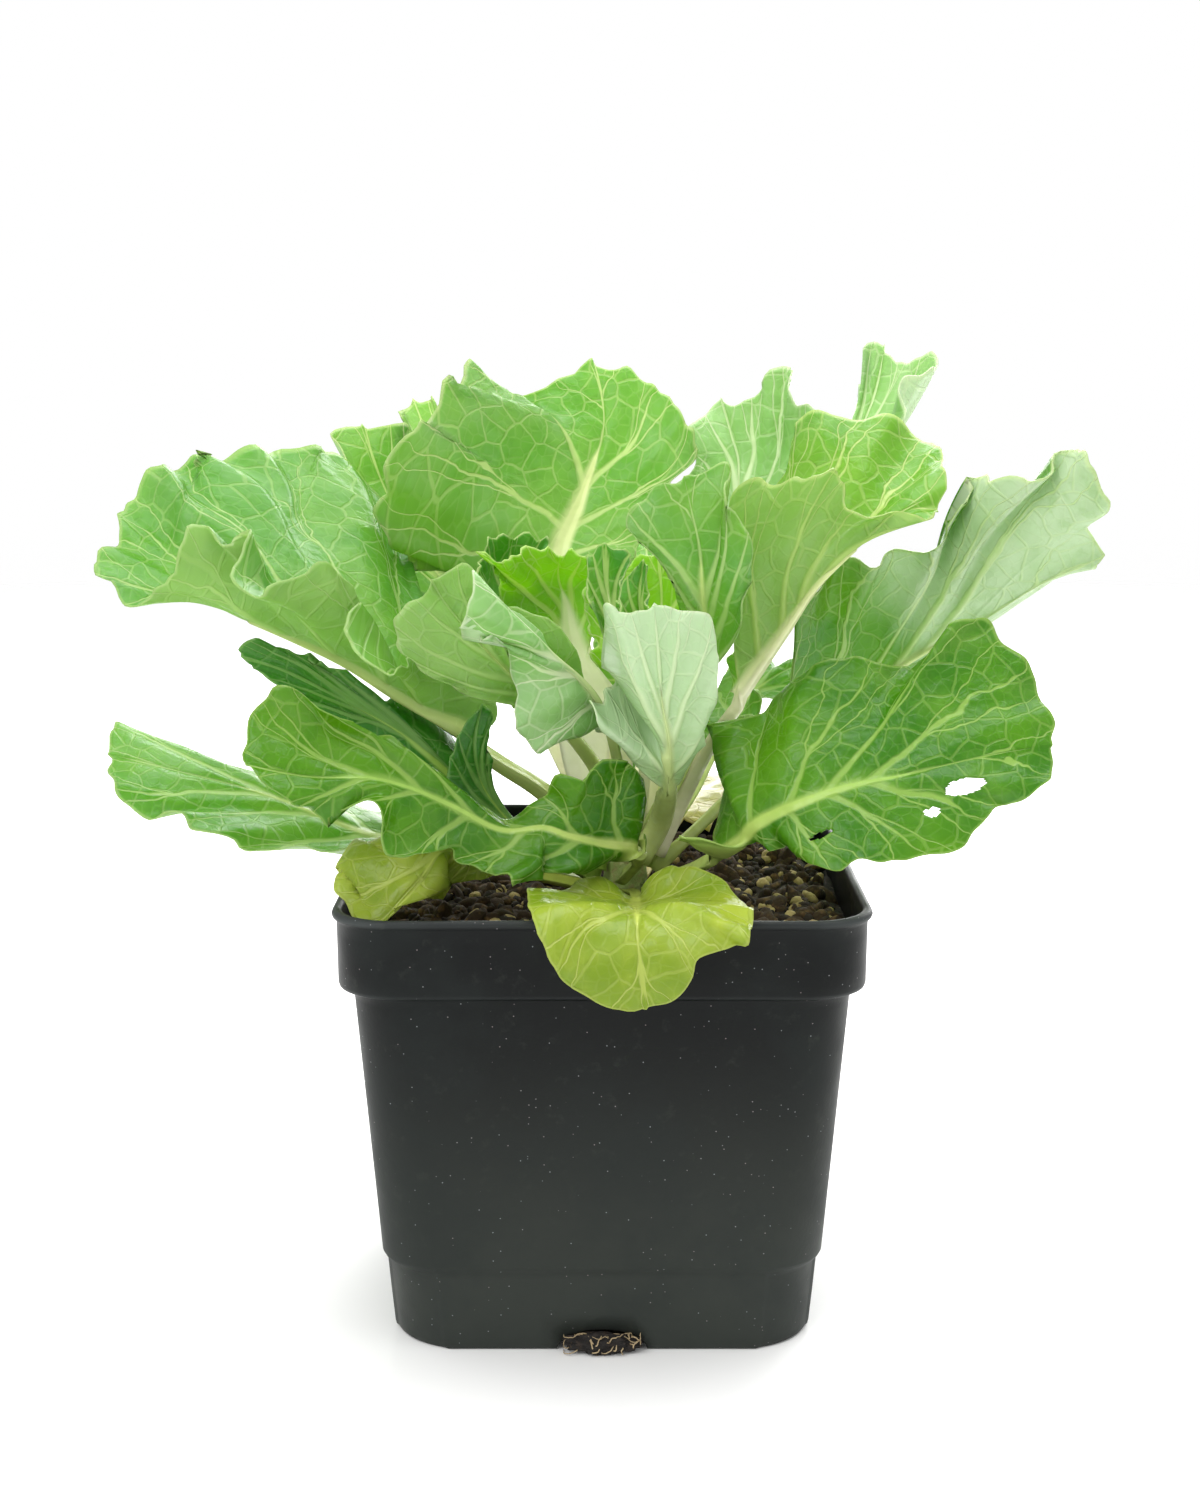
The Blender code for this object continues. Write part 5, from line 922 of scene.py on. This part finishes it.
grow("heart_inner", HEART, 25, 1.5, 1.2, rib=[(6, -6.4, 119.8), (6, -7, 152), (3, -8, 171), (1, -7, 183), (1,
     -9, 192)], face=[(-0.1, -1, 0), (-0.1, -1, 0), (-0.1, -0.9, 0.3)], stalk=40, width=(1.6, 1.5, 0.5),
     thick=(2, 1.6, 0.75), fold=[20, 20, 0, 20, 20], curl=[30, 30, 0, 30, 30], reach=[18.6, 17.9, 18.5, 18,
     16.4, 13.4, 16.4, 17.5, 16.5, 15.9, 18], lean=[16, 15, 13, 10, 7, 4, 13, 15, 17, 19, 21], wave=[4.7,
     0.9, -0.4, -0.5, -0.3, -0.4, -0.6, -0.8, 0.6, 2.8, 6.5])
grow("heart_inner_right", HEART, 26, 1.5, 1.2, rib=[(9.5, -4.9, 119.4), (12, -11, 154), (11, -16, 169), (9,
     -18, 179), (10, -19, 189)], face=[(-0.1, -1, 0), (-0.1, -1, 0), (-0.1, -0.9, 0.3)], stalk=42,
     width=(1.6, 1.4, 0.5), thick=(2, 1.6, 0.75), fold=[20, 20, 0, 20, 20], curl=[30, 30, 0, 30, 30],
     reach=[19.2, 16.4, 14.7, 13, 11.7, 15, 16.2, 16.8, 18.6], lean=[18, 16, 14, 11, -7, 2, 5, 8, 10],
     wave=[3.1, 0.3, -0.6, -0.2, 0, -0.2, 0, 0.9, 3.9])
grow("rear_right", FRESH, 27, 1.3, 0.9, rib=[(7.6, 2.4, 108.8), (12, 40, 138), (13, 64, 164), (13, 86, 180),
     (12, 102, 188)], face=[(-0.2, -0.8, 0.5), (-0.2, -0.8, 0.6), (-0.1, -0.5, 0.9)], stalk=50, fold=[15, 15,
     10, 0, 10, 15, 15], reach=[10, 12, 15, 19, 21, 20, 29.8, 22, 24, 24, 20, 16, 12], lean=[112, 93, 75, 56,
     37, 19, 0, 19, 37, 56, 75, 93, 112], wave=[0, -3, 3, -3, 4, -4, 3, -4, 4, -4, 3, -2, 0])
grow("rear_low", FRESH_PALE, 28, 1.3, 0.9, rib=[(5.3, 2.6, 105.8), (3, 34, 122), (0, 62, 138), (-4, 90, 142),
     (-8, 112, 134)], face=[(0, -0.4, 1), (0, -0.3, 1), (0, 0.2, 1)], stalk=44, fold=[12, 12, 8, 0, 8, 12,
     12], reach=[12, 18, 22, 26, 26, 24, 29.1, 24, 26, 26, 22, 18, 12], lean=[112, 93, 75, 56, 37, 19, 0, 19,
     37, 56, 75, 93, 112], wave=[0, 3, -3, 4, -4, 4, -2, 3, -4, 4, -3, 3, 0])

# studio

def make_floor():
    """Pale round floor that fades into the background with distance."""
    bpy.ops.mesh.primitive_circle_add(vertices=96, radius=2.4, fill_type="TRIFAN")
    floor = bpy.context.object
    floor.name = "studio_floor"
    made, tree, shader = new_material("matt white studio board",
                                      {"Base Color": linear("f4f4f3"), "Roughness": 0.7})
    spot = add(tree, "TexCoord", out="Object")
    away = add(tree, "VectorMath", {"operation": "LENGTH"}, {0: spot}, "Value")
    cover(tree, steps(away, 0.5, 2.2), shader, add(tree, "BsdfTransparent"))
    floor.data.materials.append(made)


def soft_box(name, place, aim, size, power):
    """Square soft white light that faces a point; sizes in metres."""
    lamp = bpy.data.lights.new(name, "AREA")
    lamp.shape, lamp.size, lamp.energy = "SQUARE", size, power
    made = bpy.data.objects.new(name, lamp)
    made.location = place
    made.rotation_euler = (Vector(aim) - Vector(place)).to_track_quat("-Z", "Y").to_euler()
    bpy.context.scene.collection.objects.link(made)


make_floor()
soft_box("key", (-0.55, -0.75, 0.95), (0, 0, 0.14), 0.7, 6.0)
soft_box("top", (0.1, 0.15, 1.1), (0, 0, 0.14), 0.9, 10.0)
soft_box("back", (0.25, 0.95, 0.55), (0, 0, 0.16), 0.9, 14.0)
world = bpy.data.worlds.new("white studio")
world.use_nodes = True
feed(world.node_tree.nodes["Background"], {"Color": linear("ffffff"), "Strength": 1.0})
bpy.context.scene.world = world

bpy.context.scene.view_settings.view_transform = "Standard"
camera = bpy.data.objects.new("camera", bpy.data.cameras.new("camera"))
camera.data.sensor_width = 36.0
camera.data.lens = 53.1
camera.data.clip_start = 0.01
camera.location = (-0.0005, -0.5523, 0.2462)
camera.rotation_euler = (math.radians(90 - 11), 0, 0)
bpy.context.scene.collection.objects.link(camera)
bpy.context.scene.camera = camera
